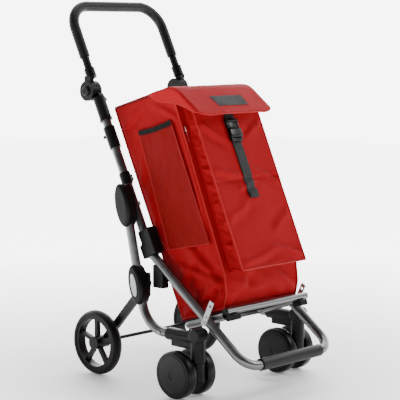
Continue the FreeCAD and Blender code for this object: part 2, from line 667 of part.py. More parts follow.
def tube_ring(name, outer, bore, start, length):
    """A round on the upright and the room for the tube through it."""
    return (cylinder(name, outer, length, at(0, start, 0, *ALONG_Y)),
            cylinder(name + "_room", bore, "%s + 2" % length, at(0, start - 1, 0, *ALONG_Y)))


collars = []
for side, sign in SIDES:
    upright = round_bar("upright_" + side, "tube_dia", "tube_dia - 2 * tube_wall",
                        "foot_drop + sleeve_from + %s" % SLEEVE_GRIPS, upright_place(sign, -size.foot_drop))
    hole = plane_sketch(upright, "XY_Plane")
    circle(hole, "fold_pin_dia + 2 * run_gap", 0, size.foot_drop)
    cut_through(upright, hole)
    place = upright_place(sign, 0)
    hub_at = (sign * size.hub_back, size.hub_along)

    # Sleeve on the upright with the inner ear of the tilt hub.
    sleeve = cylinder("sleeve", "sleeve_dia", "sleeve_to - sleeve_from", at(0, size.sleeve_from, 0, *ALONG_Y))
    rim = cylinder("sleeve_rim", "sleeve_dia + %s" % RIM_MORE, str(RIM_TALL),
                   at(0, size.sleeve_from, 0, *ALONG_Y))
    ear = cylinder("inner_ear", "hub_dia", "hub_thick", at(*hub_at, -half_ear))
    neck = flat_link("neck", (0, size.sleeve_to - LUG_TALL), hub_at, size.sleeve_dia - RIM_MORE,
                     0.5 - half_ear, "hub_thick - 1")
    room = cylinder("sleeve_room", "tube_dia", str(SLEEVE_GRIPS + 1),
                    at(0, size.sleeve_from - 1, 0, *ALONG_Y))
    node(cut("rotary_sleeve_" + side, fuse("sleeve_whole", [sleeve, rim, ear, neck]), [room]),
         "rotary_sleeve_" + side, place)

    # Collar that the bag's strap hangs on, with its lug towards the bag.
    band, room = tube_ring("band", "collar_dia", "tube_dia", size.collar_from, "collar_len")
    reach = size.upright_x - size.bag_half - size.side_gap - size.side_wall - LUG_CLEAR
    lug = box("strap_lug", str(LUG_WIDE), str(LUG_TALL), str(reach),
              at(-LUG_WIDE / 2, size.collar_from + LUG_FROM, -reach))
    collars.append(placed(cut("collar", fuse("collar_whole", [band, lug]), [room]), place))

    # Fold release that slides on the upright, with a finger tab behind it.
    band, room = tube_ring("release", "slider_dia", "tube_dia + 2 * slide_gap", size.slider_from,
                           "slider_len")
    tab_near = size.slider_dia / 2 - 3
    tab = box("finger_tab", str(TAB_LONG), str(TAB_TALL), str(TAB_WIDE),
              at(min(sign * tab_near, sign * (tab_near + TAB_LONG)),
                 size.slider_from + size.slider_len * TAB_UP, -TAB_WIDE / 2))
    node(cut("fold_release_" + side, fuse("release_whole", [band, tab]), [room]),
         "fold_release_" + side, place)

    # Knuckle at the handle's foot with the outer ear, and its push button.
    grip_on = cylinder("grip_on", "knuckle_dia", "knuckle_to - knuckle_from",
                       at(0, size.knuckle_from, 0, *ALONG_Y))
    ear = cylinder("outer_ear", "hub_dia", "hub_thick", at(*hub_at, size.hub_gap / 2))
    link = flat_link("link", hub_at, (sign, size.knuckle_from + RIM_TALL), size.knuckle_dia - 5,
                     size.hub_gap / 2, "(knuckle_dia - hub_gap) / 2")
    room = cylinder("knuckle_room", "handle_tube_dia", "knuckle_to", at(0, size.knuckle_from, 0, *ALONG_Y))
    recess = cylinder("button_room", "tilt_button_dia + 4 * slide_gap", "hub_thick", at(*hub_at, recess_low))
    node(cut("handle_knuckle_" + side, fuse("knuckle_whole", [grip_on, ear, link]), [room, recess]),
         "handle_knuckle_" + side, place)
    button = new_body("tilt_button_" + side,
                      place.multiply(at(*hub_at, recess_low + size.button_travel + BUTTON_PLAY)))
    disc = plane_sketch(button, "XY_Plane")
    circle(disc, "tilt_button_dia")
    round_top_edge(button, feature(button, "Pad", disc, Length="2 * tilt_button_out"), "button_round")
node(fuse("strap_collars", collars), "strap_collars")

# ------------------------------------------------------------------ handle
def handle_point(sign, distance):
    """Point of the handle's side tube at a distance from the fold hinge."""
    y, z = along(distance)
    return Vec(sign * size.upright_x, y, z)


def handle_loop(label, low, outer, inner):
    """U of the handle, both legs starting at a distance from the fold hinge."""
    corners = [handle_point(-1, low), handle_point(-1, size.handle_rise),
               handle_point(1, size.handle_rise), handle_point(1, low)]
    return bent_tube(label, corners, size.handle_bend, outer, inner)


handle_loop("handle_tube", size.knuckle_from, "handle_tube_dia", "handle_tube_dia - 2 * tube_wall")
handle_loop("handle_grip", size.grip_from, "grip_dia", "handle_tube_dia")

# ------------------------------------------------------------------ rear legs, axle and wheels
axle_z = size.wheel_dia / 2
leg_run = Vec(0, knee_y - size.rear_y, size.knee_z - axle_z)
leg_lean = math.degrees(math.atan2(leg_run.y, leg_run.z))
for side, sign in SIDES:
    leg = new_body("rear_leg_" + side, side_place(sign, knee_y, size.knee_z, leg_lean, leg_x))
    bar = plane_sketch(leg, "XY_Plane")
    slot(bar, (leg_run.Length + size.leg_wide) / 2, size.leg_wide / 2, 0, -leg_run.Length / 2)
    feature(leg, "Pad", bar, Length="leg_thick").Midplane = True
    boss = plane_sketch(leg, "XY_Plane")
    circle(boss, "leg_boss_dia", 0, -leg_run.Length)
    feature(leg, "Pad", boss, Length="leg_boss_thick").Midplane = True
    holes = plane_sketch(leg, "XY_Plane")
    circle(holes, "knee_pin_dia + 2 * run_gap", 0, 0)
    circle(holes, "axle_dia", 0, -leg_run.Length)
    cut_through(leg, holes)

round_bar("rear_axle", "axle_dia", None, "2 * (side_x - wheel_in) + wheel_hub_len",
         frame_place(Vec(-wheel_x - size.wheel_hub_len / 2, size.rear_y, axle_z),
                     Vec(0, 1, 0), Vec(1, 0, 0)))


def turned(label, place, profile):
    """Ring turned about local Z from an outline of (radius, height) points and arc middles."""
    body = new_body(label, place)
    outline = plane_sketch(body, "XZ_Plane")
    for kind, *points in profile:
        ends = [Vec(*point, 0) for point in points]
        outline.addGeometry(Part.Arc(*ends) if kind == "arc" else Part.LineSegment(*ends), False)
    revolve(body, outline)
    return body


def tyre_profile(outer, depth, width):
    """Round-crowned section of a solid tyre."""
    inner, half, shoulder = outer - depth, width / 2, outer - depth / 2
    return [("line", (inner, -half), (shoulder, -half)),
            ("arc", (shoulder, -half), (outer, 0), (shoulder, half)),
            ("line", (shoulder, half), (inner, half)), ("line", (inner, half), (inner, -half))]


for side, sign in SIDES:
    place = side_place(sign, size.rear_y, axle_z, 0, wheel_x)
    turned("rear_tyre_" + side, place, tyre_profile(axle_z, size.tyre_depth, size.wheel_width))
    seat = "wheel_dia - 2 * tyre_depth"
    half = size.wheel_width / 2 - 2
    band = cut("rim_band", cylinder("rim_outer", seat, "wheel_width - 4", at(0, 0, -half)),
               [cylinder("rim_inner", seat + " - 2 * rim_depth", "wheel_width", at(0, 0, -half - 2))])
    hub = cylinder("wheel_hub", "wheel_hub_dia", "wheel_hub_len", at(0, 0, -size.wheel_hub_len / 2))
    reach = "wheel_dia / 2 - tyre_depth - rim_depth / 2"
    spokes = []
    for step in range(int(size.spokes)):
        angle = 90 + step * 360 / size.spokes
        side_step = Vec(-math.sin(math.radians(angle)), math.cos(math.radians(angle)), 0)
        shift = side_step * (-size.spoke_wide / 2)
        spokes.append(box("spoke", reach, "spoke_wide", "spoke_thick",
                          at(shift.x, shift.y, -size.spoke_thick / 2, Vec(0, 0, 1), angle)))
    bore = cylinder("wheel_bore", "axle_dia + 2 * run_gap", "wheel_hub_len + 2",
                    at(0, 0, -size.wheel_hub_len / 2 - 1))
    node(cut("rear_rim_" + side, fuse("rim_whole", [band, hub] + spokes), [bore]),
         "rear_rim_" + side, place)

# ------------------------------------------------------------------ castors
castor_z = size.castor_dia / 2
for side, sign in SIDES:
    place = side_place(sign, size.castor_y, 0, 0, castor_x)
    rear = sign * size.castor_trail
    stem = cylinder("stem", "stem_dia", "stem_seam - stem_low", at(0, size.stem_low, 0, *ALONG_Y))
    pivot = cylinder("pivot", "pivot_dia", "pivot_deep", at(0, size.stem_seam - 1, 0, *ALONG_Y))
    boss = cylinder("axle_boss", "stem_dia - 4", "stem_dia", at(rear, castor_z, -size.stem_dia / 2))
    web = box("fork_web", "castor_trail", "26", "stem_dia - 6",
              at(min(0, rear), castor_z - 13, 3 - size.stem_dia / 2))
    axle_half = size.stem_dia / 2 + size.castor_gap + size.castor_width - 4
    axle = cylinder("castor_axle", "castor_axle_dia", str(2 * axle_half), at(rear, castor_z, -axle_half))
    node(fuse("castor_fork_" + side, [stem, pivot, boss, web, axle]), "castor_fork_" + side, place)

    for where, out in (("outer", sign), ("inner", -sign)):
        middle = size.stem_dia / 2 + size.castor_gap
        centre = Vec(sign * castor_x + out * middle, size.castor_y + size.castor_trail, castor_z)
        up = Vec(0, 0, 1)
        facing = Vec(out, 0, 0)
        width, radius, crown = size.castor_width, castor_z, size.castor_round
        bore = size.castor_axle_dia / 2 + size.run_gap
        profile = [("line", (bore, 0), (radius - 4, 0)),
                   ("arc", (radius - 4, 0), (radius, width * 0.38), (radius - crown, width * 0.8)),
                   ("line", (radius - crown, width * 0.8), (radius - crown - 3, width * 0.74)),
                   ("arc", (radius - crown - 3, width * 0.74), (radius * 0.5, width * 0.93), (bore, width)),
                   ("line", (bore, width), (bore, 0))]
        turned("castor_wheel_%s_%s" % (side, where), frame_place(centre, up.cross(facing), up), profile)

# ------------------------------------------------------------------ check and export
doc.recompute()
os.makedirs("parts", exist_ok=True)
for obj in doc.Objects:
    if "Invalid" in obj.State or "Error" in obj.State:
        raise RuntimeError("%s (%s) failed to build: %s" % (obj.Name, obj.Label, obj.State))
labels = [obj.Label for obj in NODES]
if len(set(labels)) != len(labels):
    raise RuntimeError("two sub-parts share a label")
for obj in NODES:
    shape = obj.Shape
    if shape.isNull() or not shape.isValid() or shape.Volume <= 0:
        raise RuntimeError("%s has no valid shape" % obj.Label)
for obj in NODES:
    obj.Shape.exportStep("parts/%s.step" % obj.Label)
print("sub-parts:", len(NODES))
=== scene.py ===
"""Looks of a folding shopping trolley: fabric bag, tubes, moulded fittings, wheels and studio.

The CAD frame gives every place and size; this script adds the soft goods, the moulded detail and
the finishes. Metres, +Z up, the handle at +Y, the bumper at -Y.
"""
from __future__ import annotations

import json
import logging
import math
from dataclasses import dataclass
from enum import Enum
from typing import Callable, Sequence

import bpy
from mathutils import Matrix, Vector, noise

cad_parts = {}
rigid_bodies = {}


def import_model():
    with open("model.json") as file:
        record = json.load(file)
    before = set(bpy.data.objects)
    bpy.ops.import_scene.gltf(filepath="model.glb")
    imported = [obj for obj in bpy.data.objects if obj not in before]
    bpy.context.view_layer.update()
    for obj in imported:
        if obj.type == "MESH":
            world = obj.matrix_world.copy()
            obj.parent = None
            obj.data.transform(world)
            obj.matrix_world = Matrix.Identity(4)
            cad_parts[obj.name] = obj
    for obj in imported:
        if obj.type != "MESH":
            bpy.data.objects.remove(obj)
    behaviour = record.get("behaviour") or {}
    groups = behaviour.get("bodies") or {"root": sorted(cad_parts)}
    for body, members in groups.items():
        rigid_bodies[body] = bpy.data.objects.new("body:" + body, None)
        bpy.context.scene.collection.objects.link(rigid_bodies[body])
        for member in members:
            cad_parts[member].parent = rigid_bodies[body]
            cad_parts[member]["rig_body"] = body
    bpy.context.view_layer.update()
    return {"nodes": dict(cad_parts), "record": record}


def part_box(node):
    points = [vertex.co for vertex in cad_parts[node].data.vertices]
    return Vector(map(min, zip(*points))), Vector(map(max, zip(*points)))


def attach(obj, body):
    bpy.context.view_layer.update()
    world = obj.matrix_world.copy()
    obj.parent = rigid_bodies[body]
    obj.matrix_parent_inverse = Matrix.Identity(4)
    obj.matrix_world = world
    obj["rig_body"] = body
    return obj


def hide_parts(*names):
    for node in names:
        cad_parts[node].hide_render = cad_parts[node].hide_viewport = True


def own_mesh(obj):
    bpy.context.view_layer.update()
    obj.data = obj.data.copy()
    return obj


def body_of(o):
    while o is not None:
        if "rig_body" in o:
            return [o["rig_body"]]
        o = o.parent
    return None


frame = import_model()
NODES = frame["nodes"]
LOG = logging.getLogger("trolley")
MM = 0.001
SIDES = (("left", -1), ("right", 1))
Point = tuple[float, float]
Colour = tuple[float, float, float]


# ------------------------------------------------------------------ shader building
class Graph:
    """Short way to add and join the nodes of one shader tree."""

    def __init__(self, tree: bpy.types.NodeTree) -> None:
        """Keeps the tree that the nodes go into."""
        self.tree = tree

    def feed(self, socket: bpy.types.NodeSocket, value: object) -> None:
        """Joins another node's output to this socket, or sets its value."""
        if isinstance(value, bpy.types.NodeSocket):
            self.tree.links.new(value, socket)
        elif isinstance(value, bpy.types.Node):
            self.tree.links.new(value.outputs[0], socket)
        elif isinstance(value, tuple) and socket.type == "RGBA":
            socket.default_value = (*value, 1.0)
        else:
            socket.default_value = value

    def add(self, kind: str, settings: dict | None = None, **inputs: object) -> bpy.types.Node:
        """Adds a shader node.

        Args:
            kind: the node type's name without its ShaderNode prefix.
            settings: properties of the node, such as its operation.
            inputs: socket name, with _ for a space, or n0, n1 for a socket's number.

        Returns:
            The new node.
        """
        made = self.tree.nodes.new("ShaderNode" + kind)
        for prop, value in (settings or {}).items():
            setattr(made, prop, value)
        for name, value in inputs.items():
            key = int(name[1:]) if name[1:].isdigit() else name.replace("_", " ")
            self.feed(made.inputs[key], value)
        return made

    def math(self, operation: str, *terms: object) -> bpy.types.NodeSocket:
        """Adds a Math node on the terms and returns its result."""
        inputs = {"n%d" % i: term for i, term in enumerate(terms)}
        return self.add("Math", {"operation": operation}, **inputs).outputs[0]

    def blend(self, factor: object, first: object, second: object) -> bpy.types.NodeSocket:
        """Mixes two colours by a factor and returns the result."""
        mix = self.add("Mix", {"data_type": "RGBA"}, n0=factor, n6=first, n7=second)
        return mix.outputs[2]

    def span(self, value: object, low: float, high: float, start: float, end: float):
        """Maps a value from low..high to start..end, clamped, and returns the result."""
        return self.add("MapRange", None, n0=value, n1=low, n2=high, n3=start, n4=end).outputs[0]


class Effect(Enum):
    """Shader groups that several finishes share."""

    GRAIN = "fine_grain"
    MOTTLE = "mottle"
    WEAVE = "weave"
    DUST = "dust"
    SCUFFS = "scuffs"


class Effects:
    """Builds each shared shader group once and places it in materials."""

    built: dict[Effect, bpy.types.NodeTree] = {}

    @classmethod
    def place(cls, graph: Graph, effect: Effect, **inputs: object) -> bpy.types.Node:
        """Adds an effect's group to a material.

        Args:
            graph: the material's graph.
            effect: the shared effect.
            inputs: values or sockets for the group's named inputs.

        Returns:
            The group node, whose outputs are named.
        """
        if effect not in cls.built:
            cls.built[effect] = getattr(cls, "_" + effect.name.lower())(effect.value)
        made = graph.add("Group", {"node_tree": cls.built[effect]})
        for name, value in inputs.items():
            graph.feed(made.inputs[name.replace("_", " ")], value)
        return made

    @staticmethod
    def _empty(name: str, inputs: dict[str, float | None], outputs: Sequence[str]):
        """Makes a group with named sockets; an input of None is a vector.

        Args:
            name: the group's name.
            inputs: input name to its start value.
            outputs: output names, all plain values.

        Returns:
            The group's graph, its input node and its output node.
        """
        tree = bpy.data.node_groups.new(name, "ShaderNodeTree")
        for socket, start in inputs.items():
            kind = "NodeSocketVector" if start is None else "NodeSocketFloat"
            made = tree.interface.new_socket(socket, in_out="INPUT", socket_type=kind)
            if start is not None:
                made.default_value = start
        for socket in outputs:
            tree.interface.new_socket(socket, in_out="OUTPUT", socket_type="NodeSocketFloat")
        return Graph(tree), tree.nodes.new("NodeGroupInput"), tree.nodes.new("NodeGroupOutput")

    @classmethod
    def _grain(cls, name: str) -> bpy.types.NodeTree:
        """Leathery grain of moulded plastic and foam."""
        graph, given, out = cls._empty(name, {"Vector": None, "Scale": 900.0}, ["Height"])
        cells = graph.add("TexVoronoi", {"feature": "SMOOTH_F1"}, Vector=given.outputs[0],
                          Scale=given.outputs[1])
        fine = graph.add("TexNoise", None, Vector=given.outputs[0], Scale=given.outputs[1], Detail=3.0)
        graph.feed(out.inputs[0], graph.math("MULTIPLY_ADD", cells.outputs[0], 0.6, fine.outputs[0]))
        return graph.tree

    @classmethod
    def _mottle(cls, name: str) -> bpy.types.NodeTree:
        """Broad uneven tone, two sizes of cloud."""
        graph, given, out = cls._empty(name, {"Vector": None, "Scale": 8.0}, ["Value"])
        broad = graph.add("TexNoise", None, Vector=given.outputs[0], Scale=given.outputs[1], Detail=2.0)
        small = graph.math("MULTIPLY", given.outputs[1], 7.0)
        close = graph.add("TexNoise", None, Vector=given.outputs[0], Scale=small, Detail=4.0)
        both = graph.math("MULTIPLY_ADD", close.outputs[0], 0.35,
                          graph.math("MULTIPLY", broad.outputs[0], 0.65))
        graph.feed(out.inputs[0], graph.span(both, 0.3, 0.7, 0.0, 1.0))
        return graph.tree

    @classmethod
    def _weave(cls, name: str) -> bpy.types.NodeTree:
        """Plain weave: warp and weft threads crossing over and under."""
        graph, given, out = cls._empty(name, {"Vector": None, "Threads": 1200.0}, ["Height", "Weft"])
        parts = graph.add("SeparateXYZ", None, Vector=given.outputs[0])
        across = graph.math("MULTIPLY", parts.outputs[0], given.outputs[1])
        along = graph.math("MULTIPLY", parts.outputs[1], given.outputs[1])
        humps = []
        for run in (across, along):
            wave = graph.math("SINE", graph.math("MULTIPLY", run, math.pi))
            humps.append(graph.math("MULTIPLY", wave, wave))
        cells = graph.math("ADD", graph.math("FLOOR", across), graph.math("FLOOR", along))
        over = graph.math("FLOORED_MODULO", cells, 2.0)
        kept = graph.math("MULTIPLY", humps[1], over)
        other = graph.math("MULTIPLY", humps[0], graph.math("SUBTRACT", 1.0, over))
        graph.feed(out.inputs[0], graph.math("ADD", kept, other))
        graph.feed(out.inputs[1], over)
        return graph.tree

    @classmethod
    def _dust(cls, name: str) -> bpy.types.NodeTree:
        """Thin dust that settles on faces that look up."""
        graph, given, out = cls._empty(name, {"Vector": None, "Amount": 0.2}, ["Mask"])
        facing = graph.add("SeparateXYZ", None, Vector=graph.add("NewGeometry").outputs["Normal"])
        clouds = graph.add("TexNoise", None, Vector=given.outputs[0], Scale=60.0, Detail=5.0)
        lying = graph.span(facing.outputs[2], 0.1, 1.0, 0.0, 1.0)
        patchy = graph.span(clouds.outputs[0], 0.4, 0.75, 0.0, 1.0)
        graph.feed(out.inputs[0], graph.math("MULTIPLY", graph.math("MULTIPLY", lying, patchy),
                                             given.outputs[1]))
        return graph.tree

    @classmethod
    def _scuffs(cls, name: str) -> bpy.types.NodeTree:
        """Short fine scratches from handling."""
        graph, given, out = cls._empty(name, {"Vector": None, "Scale": 90.0}, ["Mask"])
        bent = graph.add("TexNoise", None, Vector=given.outputs[0], Scale=given.outputs[1], Detail=6.0,
                         Roughness=0.7, Distortion=1.2)
        lines = graph.math("ABSOLUTE", graph.math("SUBTRACT", bent.outputs[0], 0.5))
        where = graph.add("TexNoise", None, Vector=given.outputs[0], Scale=14.0, Detail=2.0)
        thin = graph.span(lines, 0.0, 0.012, 1.0, 0.0)
        graph.feed(out.inputs[0], graph.math("MULTIPLY", thin,
                                             graph.span(where.outputs[0], 0.5, 0.7, 0.0, 1.0)))
        return graph.tree


# ------------------------------------------------------------------ finishes
@dataclass(frozen=True)
class Finish:
    """A surface finish: its colour, gloss and how its detail is laid on."""

    name: str
    colour: Colour
    roughness: float = 0.5
    metallic: float = 0.0
    specular: float = 0.5

    def material(self) -> bpy.types.Material:
        """Builds the material, or returns the one already made."""
        found = bpy.data.materials.get(self.name)
        if found:
            return found
        made = bpy.data.materials.new(self.name)
        made.use_nodes = True
        graph = Graph(made.node_tree)
        shader = made.node_tree.nodes["Principled BSDF"]
        graph.feed(shader.inputs["Base Color"], self.colour)
        shader.inputs["Roughness"].default_value = self.roughness
        shader.inputs["Metallic"].default_value = self.metallic
        shader.inputs["Specular IOR Level"].default_value = self.specular
        self.paint(graph, shader, graph.add("TexCoord"))
        return made

    def paint(self, graph: Graph, shader: bpy.types.Node, where: bpy.types.Node) -> None:
        """Adds the finish's own detail; a plain finish has none."""

    def shade(self, amount: float) -> Colour:
        """The finish's colour, darker below 1 and lighter above."""
        return tuple(min(1.0, channel * amount) for channel in self.colour)

    @staticmethod
    def relief(graph: Graph, shader: bpy.types.Node, height: object, depth: float, over: object = None):
        """Feeds a height through a Bump node to the shader's normal and returns the bump."""
        bump = graph.add("Bump", None, Strength=1.0, Distance=depth, Height=height)
        if over is not None:
            graph.feed(bump.inputs["Normal"], over.outputs[0])
        graph.feed(shader.inputs["Normal"], bump.outputs[0])
        return bump


@dataclass(frozen=True)
class DrawnTube(Finish):
    """Metal tube, anodised or powder coated, with fine grain and handling marks."""

    grain: float = 420.0
    depth: float = 0.02 * MM

    def paint(self, graph: Graph, shader: bpy.types.Node, where: bpy.types.Node) -> None:
        """Lays grain, scuffs and a little dust over the metal."""
        spot = where.outputs["Object"]
        mottle = Effects.place(graph, Effect.MOTTLE, Vector=spot, Scale=18.0)
        scuffs = Effects.place(graph, Effect.SCUFFS, Vector=spot, Scale=70.0)
        tone = graph.blend(mottle.outputs[0], self.shade(0.9), self.shade(1.06))
        marked = graph.blend(graph.math("MULTIPLY", scuffs.outputs[0], 0.25), tone, self.shade(0.8))
        dust = Effects.place(graph, Effect.DUST, Vector=spot, Amount=0.03)
        graph.feed(shader.inputs["Base Color"], graph.blend(dust.outputs[0], marked, (0.55, 0.53, 0.5)))
        rough = graph.span(mottle.outputs[0], 0.0, 1.0, self.roughness - 0.05, self.roughness + 0.07)
        graph.feed(shader.inputs["Roughness"], graph.math("MULTIPLY_ADD", scuffs.outputs[0], 0.15, rough))
        grain = Effects.place(graph, Effect.GRAIN, Vector=spot, Scale=self.grain)
        self.relief(graph, shader, grain.outputs[0], self.depth)


@dataclass(frozen=True)
class Moulded(Finish):
    """Moulded plastic, rubber or foam with a spark-eroded grain."""

    grain: float = 700.0
    depth: float = 0.05 * MM
    dust: float = 0.12
    coat: float = 0.0

    def paint(self, graph: Graph, shader: bpy.types.Node, where: bpy.types.Node) -> None:
        """Lays grain, uneven gloss, scuffs and dust over the plastic."""
        spot = where.outputs["Object"]
        mottle = Effects.place(graph, Effect.MOTTLE, Vector=spot, Scale=22.0)
        scuffs = Effects.place(graph, Effect.SCUFFS, Vector=spot, Scale=110.0)
        dust = Effects.place(graph, Effect.DUST, Vector=spot, Amount=self.dust)
        tone = graph.blend(mottle.outputs[0], self.shade(0.82), self.shade(1.18))
        marked = graph.blend(graph.math("MULTIPLY", scuffs.outputs[0], 0.25), tone, self.shade(2.2))
        graph.feed(shader.inputs["Base Color"], graph.blend(dust.outputs[0], marked, (0.34, 0.33, 0.32)))
        rough = graph.span(mottle.outputs[0], 0.0, 1.0, self.roughness - 0.06, self.roughness + 0.08)
        graph.feed(shader.inputs["Roughness"], graph.math("MULTIPLY_ADD", scuffs.outputs[0], 0.12, rough))
        grain = Effects.place(graph, Effect.GRAIN, Vector=spot, Scale=self.grain)
        self.relief(graph, shader, grain.outputs[0], self.depth)
        shader.inputs["Coat Weight"].default_value = self.coat
        shader.inputs["Coat Roughness"].default_value = 0.25


@dataclass(frozen=True)
class Cloth(Finish):
    """Woven cloth that follows the piece's own UV map, which is in metres."""

    threads: float = 1300.0
    depth: float = 0.12 * MM
    contrast: float = 0.10
    sheen: float = 0.06
    puckers: float = 0.5 * MM

    def paint(self, graph: Graph, shader: bpy.types.Node, where: bpy.types.Node) -> None:
        """Lays thread colour, weave relief, small puckers and faint soiling."""
        threads = Effects.place(graph, Effect.WEAVE, Vector=where.outputs["UV"], Threads=self.threads)
        mottle = Effects.place(graph, Effect.MOTTLE, Vector=where.outputs["Object"], Scale=9.0)
        weft = graph.blend(threads.outputs["Weft"], self.shade(1 - self.contrast),
                           self.shade(1 + self.contrast))
        tone = graph.blend(graph.math("MULTIPLY", mottle.outputs[0], 0.35), weft, self.shade(0.78))
        graph.feed(shader.inputs["Base Color"], tone)
        graph.feed(shader.inputs["Roughness"],
                   graph.span(mottle.outputs[0], 0.0, 1.0, self.roughness - 0.06, self.roughness + 0.06))
        broad = graph.add("TexNoise", None, Vector=where.outputs["Object"], Scale=55.0, Detail=3.0,
                          Distortion=0.6)
        soft = graph.add("Bump", None, Strength=1.0, Distance=self.puckers, Height=broad.outputs[0])
        self.relief(graph, shader, threads.outputs["Height"], self.depth, soft)
        shader.inputs["Sheen Weight"].default_value = self.sheen
        shader.inputs["Sheen Roughness"].default_value = 0.5
        shader.inputs["Sheen Tint"].default_value = (*self.shade(1.5), 1.0)


@dataclass(frozen=True)
class Netting(Cloth):
    """Open net laid over the cloth behind it: knitted cords, with painted shade in the holes between them.
    """

    holes: float = 330.0

    def paint(self, graph: Graph, shader: bpy.types.Node, where: bpy.types.Node) -> None:
        """Adds the net's holes to the cloth's own detail; the holes are coloured as painted shade of the
        cloth behind.
        """
        super().paint(graph, shader, where)
        cells = graph.add("TexVoronoi", {"feature": "DISTANCE_TO_EDGE"}, Vector=where.outputs["UV"],
                          Scale=self.holes, Randomness=0.15)
        hole = graph.span(cells.outputs[0], 0.12, 0.3, 0.0, 1.0)
        knit = shader.inputs["Base Color"].links[0].from_socket
        # painted shade: the holes get a dark red for the cloth behind the net in shade, not that cloth's
        # own colour
        graph.feed(shader.inputs["Base Color"], graph.blend(hole, knit, self.shade(0.45)))
        self.relief(graph, shader, graph.math("SUBTRACT", 1.0, hole), 0.35 * MM)


@dataclass(frozen=True)
class StudioFloorPaintedGlow(Finish):
    """Pale floor with a painted glow (emission) that grows brighter away from the trolley."""

    near: float = 0.2
    far: float = 4.6

    def paint(self, graph: Graph, shader: bpy.types.Node, where: bpy.types.Node) -> None:
        """Lays a faint mottle over the floor and paints its glow, faint near the trolley and strong far
        from it.
        """
        mottle = Effects.place(graph, Effect.MOTTLE, Vector=where.outputs["Object"], Scale=3.0)
        graph.feed(shader.inputs["Base Color"], graph.blend(mottle.outputs[0], self.shade(0.985),
                                                            self.colour))
        away = graph.add("VectorMath", {"operation": "LENGTH"}, n0=where.outputs["Object"])
        # painted glow: the floor emits light, more strongly with distance from the trolley
        shader.inputs["Emission Color"].default_value = (1.0, 1.0, 1.0, 1.0)
        graph.feed(shader.inputs["Emission Strength"],
                   graph.span(away.outputs["Value"], 0.3, 2.2, self.near, self.far))


class Finishes:
    """Every finish on the trolley."""

    SILVER = DrawnTube("satin_silver_tube", (0.17, 0.17, 0.173), 0.36, 1.0, grain=1500.0, depth=0.004 * MM)
    BLACK_TUBE = DrawnTube("black_powder_coat", (0.004, 0.004, 0.0042), 0.36, 0.0, 0.16, grain=260.0,
                           depth=0.05 * MM)
    STEEL = DrawnTube("zinc_plated_steel", (0.24, 0.24, 0.245), 0.38, 1.0)
    BRIGHT = DrawnTube("bright_plated_zip", (0.78, 0.78, 0.79), 0.16, 1.0, grain=1500.0)
    PLASTIC = Moulded("black_moulded_plastic", (0.003, 0.003, 0.0032), 0.42, 0.0, 0.15, dust=0.01)
    GLOSS = Moulded("smooth_black_plastic", (0.003, 0.003, 0.0032), 0.3, 0.0, 0.2, grain=1600.0,
                    depth=0.02 * MM, dust=0.0)
    WHEEL = Moulded("castor_wheel_plastic", (0.003, 0.003, 0.0032), 0.34, 0.0, 0.2, grain=900.0, dust=0.01)
    TYRE = Moulded("solid_tyre_rubber", (0.004, 0.004, 0.0042), 0.5, 0.0, 0.15, grain=500.0,
                   depth=0.12 * MM,
                   dust=0.01)
    FOAM = Moulded("soft_grip_foam", (0.005, 0.005, 0.0052), 0.46, 0.0, 0.2, grain=420.0,
                   depth=0.2 * MM, dust=0.0)
    GREY = Moulded("light_grey_plate", (0.36, 0.37, 0.38), 0.35, 0.3, 0.4, grain=1200.0,
                   depth=0.02 * MM, dust=0.0)
    BOARD = Moulded("platform_board", (0.004, 0.004, 0.0042), 0.55, 0.0, 0.15, dust=0.02)
    BAG = Cloth("red_polyester", (0.27, 0.0042, 0.0075), 0.75, 0.0, 0.06)
    # Flap red: the bag's polyester made lighter than BAG, as painted top light on the lid
    FLAP = Cloth("red_polyester_flap_painted_toplight", (0.35, 0.005, 0.0095), 0.7, 0.0, 0.08, sheen=0.02)
    LINING = Cloth("dark_red_lining", (0.12, 0.003, 0.004), 0.8, 0.0, 0.1)
    BINDING = Cloth("red_edge_binding", (0.30, 0.0045, 0.006), 0.6, 0.0, 0.2, threads=900.0)
    PIPING = Cloth("red_piping", (0.36, 0.005, 0.007), 0.55, 0.0, 0.2, threads=1000.0)
    NET = Netting("red_net", (0.22, 0.003, 0.004), 0.75, 0.0, 0.1)
    WEBBING = Cloth("black_webbing", (0.006, 0.006, 0.0065), 0.6, 0.0, 0.2, threads=520.0, depth=0.35 * MM,
                    contrast=0.35, sheen=0.03, puckers=0.1 * MM)
    ELASTIC = Cloth("black_elastic", (0.005, 0.005, 0.0055), 0.7, 0.0, 0.15, threads=800.0, depth=0.3 * MM,
                    sheen=0.02)
    THREAD = Cloth("red_sewing_thread", (0.34, 0.006, 0.008), 0.5, 0.0, 0.2, threads=2500.0)
    PATCH = Cloth("blank_black_patch", (0.004, 0.004, 0.0045), 0.6, 0.0, 0.15, threads=1500.0, sheen=0.0)
    FLOOR = StudioFloorPaintedGlow("studio_floor", (0.92, 0.92, 0.92), 0.6, 0.0, 0.2)


# ------------------------------------------------------------------ mesh helpers
def pick(obj: bpy.types.Object) -> bpy.types.Object:
    """Makes an object the only selected and active one."""
    bpy.ops.object.select_all(action="DESELECT")
    obj.select_set(True)
    bpy.context.view_layer.objects.active = obj
    return obj


